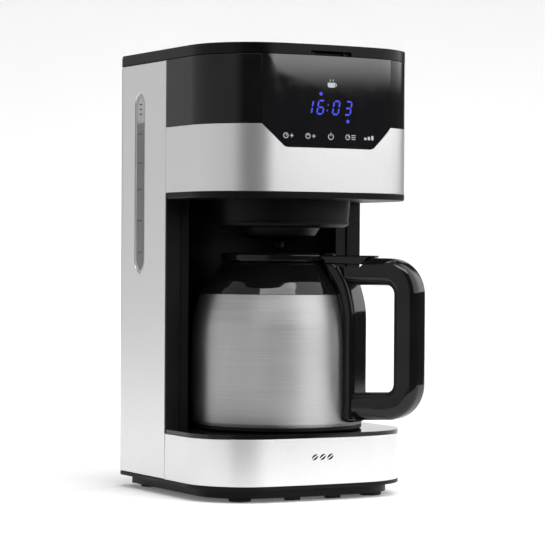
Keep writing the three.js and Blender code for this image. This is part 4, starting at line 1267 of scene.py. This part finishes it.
class Sky:
    """The studio seen as a world: dark, with soft boxes given by azimuth from the front
    (positive to the machine's right) and by height, and plain pale where the camera looks past it."""

    def __init__(self, ambient):
        world = bpy.data.worlds.new("studio")
        bpy.context.scene.world = world
        world.use_nodes = True
        self.tree = world.node_tree
        self.background = self.tree.nodes["Background"]
        coords = self.tree.nodes.new("ShaderNodeTexCoord")
        self.direction = coords.outputs["Generated"]
        split = self.tree.nodes.new("ShaderNodeSeparateXYZ")
        self.link(self.direction, split.inputs[0])
        self.height = split.outputs["Z"]
        self.total = ambient

    def link(self, source, target):
        self.tree.links.new(source, target)

    def math(self, operation, a, b):
        node = self.tree.nodes.new("ShaderNodeMath")
        node.operation = operation
        for value, socket in zip((a, b), node.inputs):
            if isinstance(value, (int, float)):
                socket.default_value = value
            else:
                self.link(value, socket)
        return node.outputs[0]

    def fade(self, value, start, end):
        """Rises smoothly from 0 at start to 1 at end."""
        node = self.tree.nodes.new("ShaderNodeMapRange")
        node.interpolation_type = "SMOOTHSTEP"
        node.inputs["From Min"].default_value = start
        node.inputs["From Max"].default_value = end
        self.link(value, node.inputs["Value"])
        return node.outputs["Result"]

    def dot(self, source, vector):
        node = self.tree.nodes.new("ShaderNodeVectorMath")
        node.operation = "DOT_PRODUCT"
        node.inputs[1].default_value = vector
        self.link(source, node.inputs[0])
        return node.outputs["Value"]

    def level_direction(self):
        """The direction of view laid flat, one long."""
        flat = self.tree.nodes.new("ShaderNodeVectorMath")
        flat.operation = "MULTIPLY"
        flat.inputs[1].default_value = (1, 1, 0)
        unit = self.tree.nodes.new("ShaderNodeVectorMath")
        unit.operation = "NORMALIZE"
        self.link(self.direction, flat.inputs[0])
        self.link(flat.outputs[0], unit.inputs[0])
        return unit.outputs[0]

    def box(self, azimuth, inner, outer, low, high, strength, edge=None):
        """Adds a box: full within inner degrees of the azimuth and gone at outer, rising from
        dark at the low height to full at the high one; a hard lower edge is (slant, height)."""
        angle = math.radians(azimuth)
        facing = self.dot(self.level_direction(), (math.sin(angle), -math.cos(angle), 0))
        across = self.fade(facing, math.cos(math.radians(outer)), math.cos(math.radians(inner)))
        shape = self.math("MULTIPLY", across, self.fade(self.height, low, high))
        if edge:
            slant, height = edge
            over = self.fade(self.dot(self.direction, (slant, 0, 1)), height, height + 0.0008)
            shape = self.math("MULTIPLY", shape, over)
        self.total = self.math("ADD", self.total, self.math("MULTIPLY", shape, strength))

    def finish(self, seen):
        """Shows the camera itself a plain backdrop of this brightness in place of the boxes."""
        path = self.tree.nodes.new("ShaderNodeLightPath")
        mix = self.tree.nodes.new("ShaderNodeMix")
        mix.inputs["B"].default_value = seen
        self.link(path.outputs["Is Camera Ray"], mix.inputs["Factor"])
        self.link(self.total, mix.inputs["A"])
        self.link(mix.outputs["Result"], self.background.inputs["Color"])


def make_lights():
    """A broad box at the left, a hard-edged strong one at the right and a soft one overhead."""
    sky = Sky(ambient=0.05)
    sky.box(azimuth=-112, inner=50, outer=72, low=-0.25, high=-0.05, strength=0.62)
    sky.box(azimuth=55, inner=45, outer=62, low=0.07, high=0.088, strength=2.6, edge=(0.032, 0.0873))
    sky.finish(seen=1.0)
    area_light("top_box", azimuth=-30, distance=0.8, height=1.62, size_x=1.2, size_y=0.5, power=15)


CAMERA_PLACE = Vector((-0.91147, HEAD_FRONT - 1.56037, 0.19401))
CAMERA_LENS, PITCH, ROLL = 151.43, math.radians(0.42), math.radians(0.34)


def make_camera():
    """A long lens at the machine's left front, level but for a slight pitch and roll."""
    data = bpy.data.cameras.new("camera")
    data.lens = CAMERA_LENS
    data.sensor_width = 36
    data.clip_start = 0.05
    camera = bpy.data.objects.new("camera", data)
    bpy.context.scene.collection.objects.link(camera)
    ahead = Vector((math.sin(VIEW_ANGLE) * math.cos(PITCH), math.cos(VIEW_ANGLE) * math.cos(PITCH),
                    -math.sin(PITCH)))
    right = Vector((math.cos(VIEW_ANGLE), -math.sin(VIEW_ANGLE), 0))
    up = right.cross(ahead)
    tilted_right = right * math.cos(ROLL) + up * math.sin(ROLL)
    tilted_up = up * math.cos(ROLL) - right * math.sin(ROLL)
    axes = Matrix((tilted_right, tilted_up, -ahead)).transposed()
    camera.matrix_world = Matrix.Translation(CAMERA_PLACE) @ axes.to_4x4()
    bpy.context.scene.camera = camera


bpy.context.scene.view_settings.view_transform = "Standard"
make_camera()
assign_materials()
make_base()
make_column()
make_head()
make_display()
make_base_mark()
make_lid()
make_brewing()
make_jug()
make_stage()
make_lights()
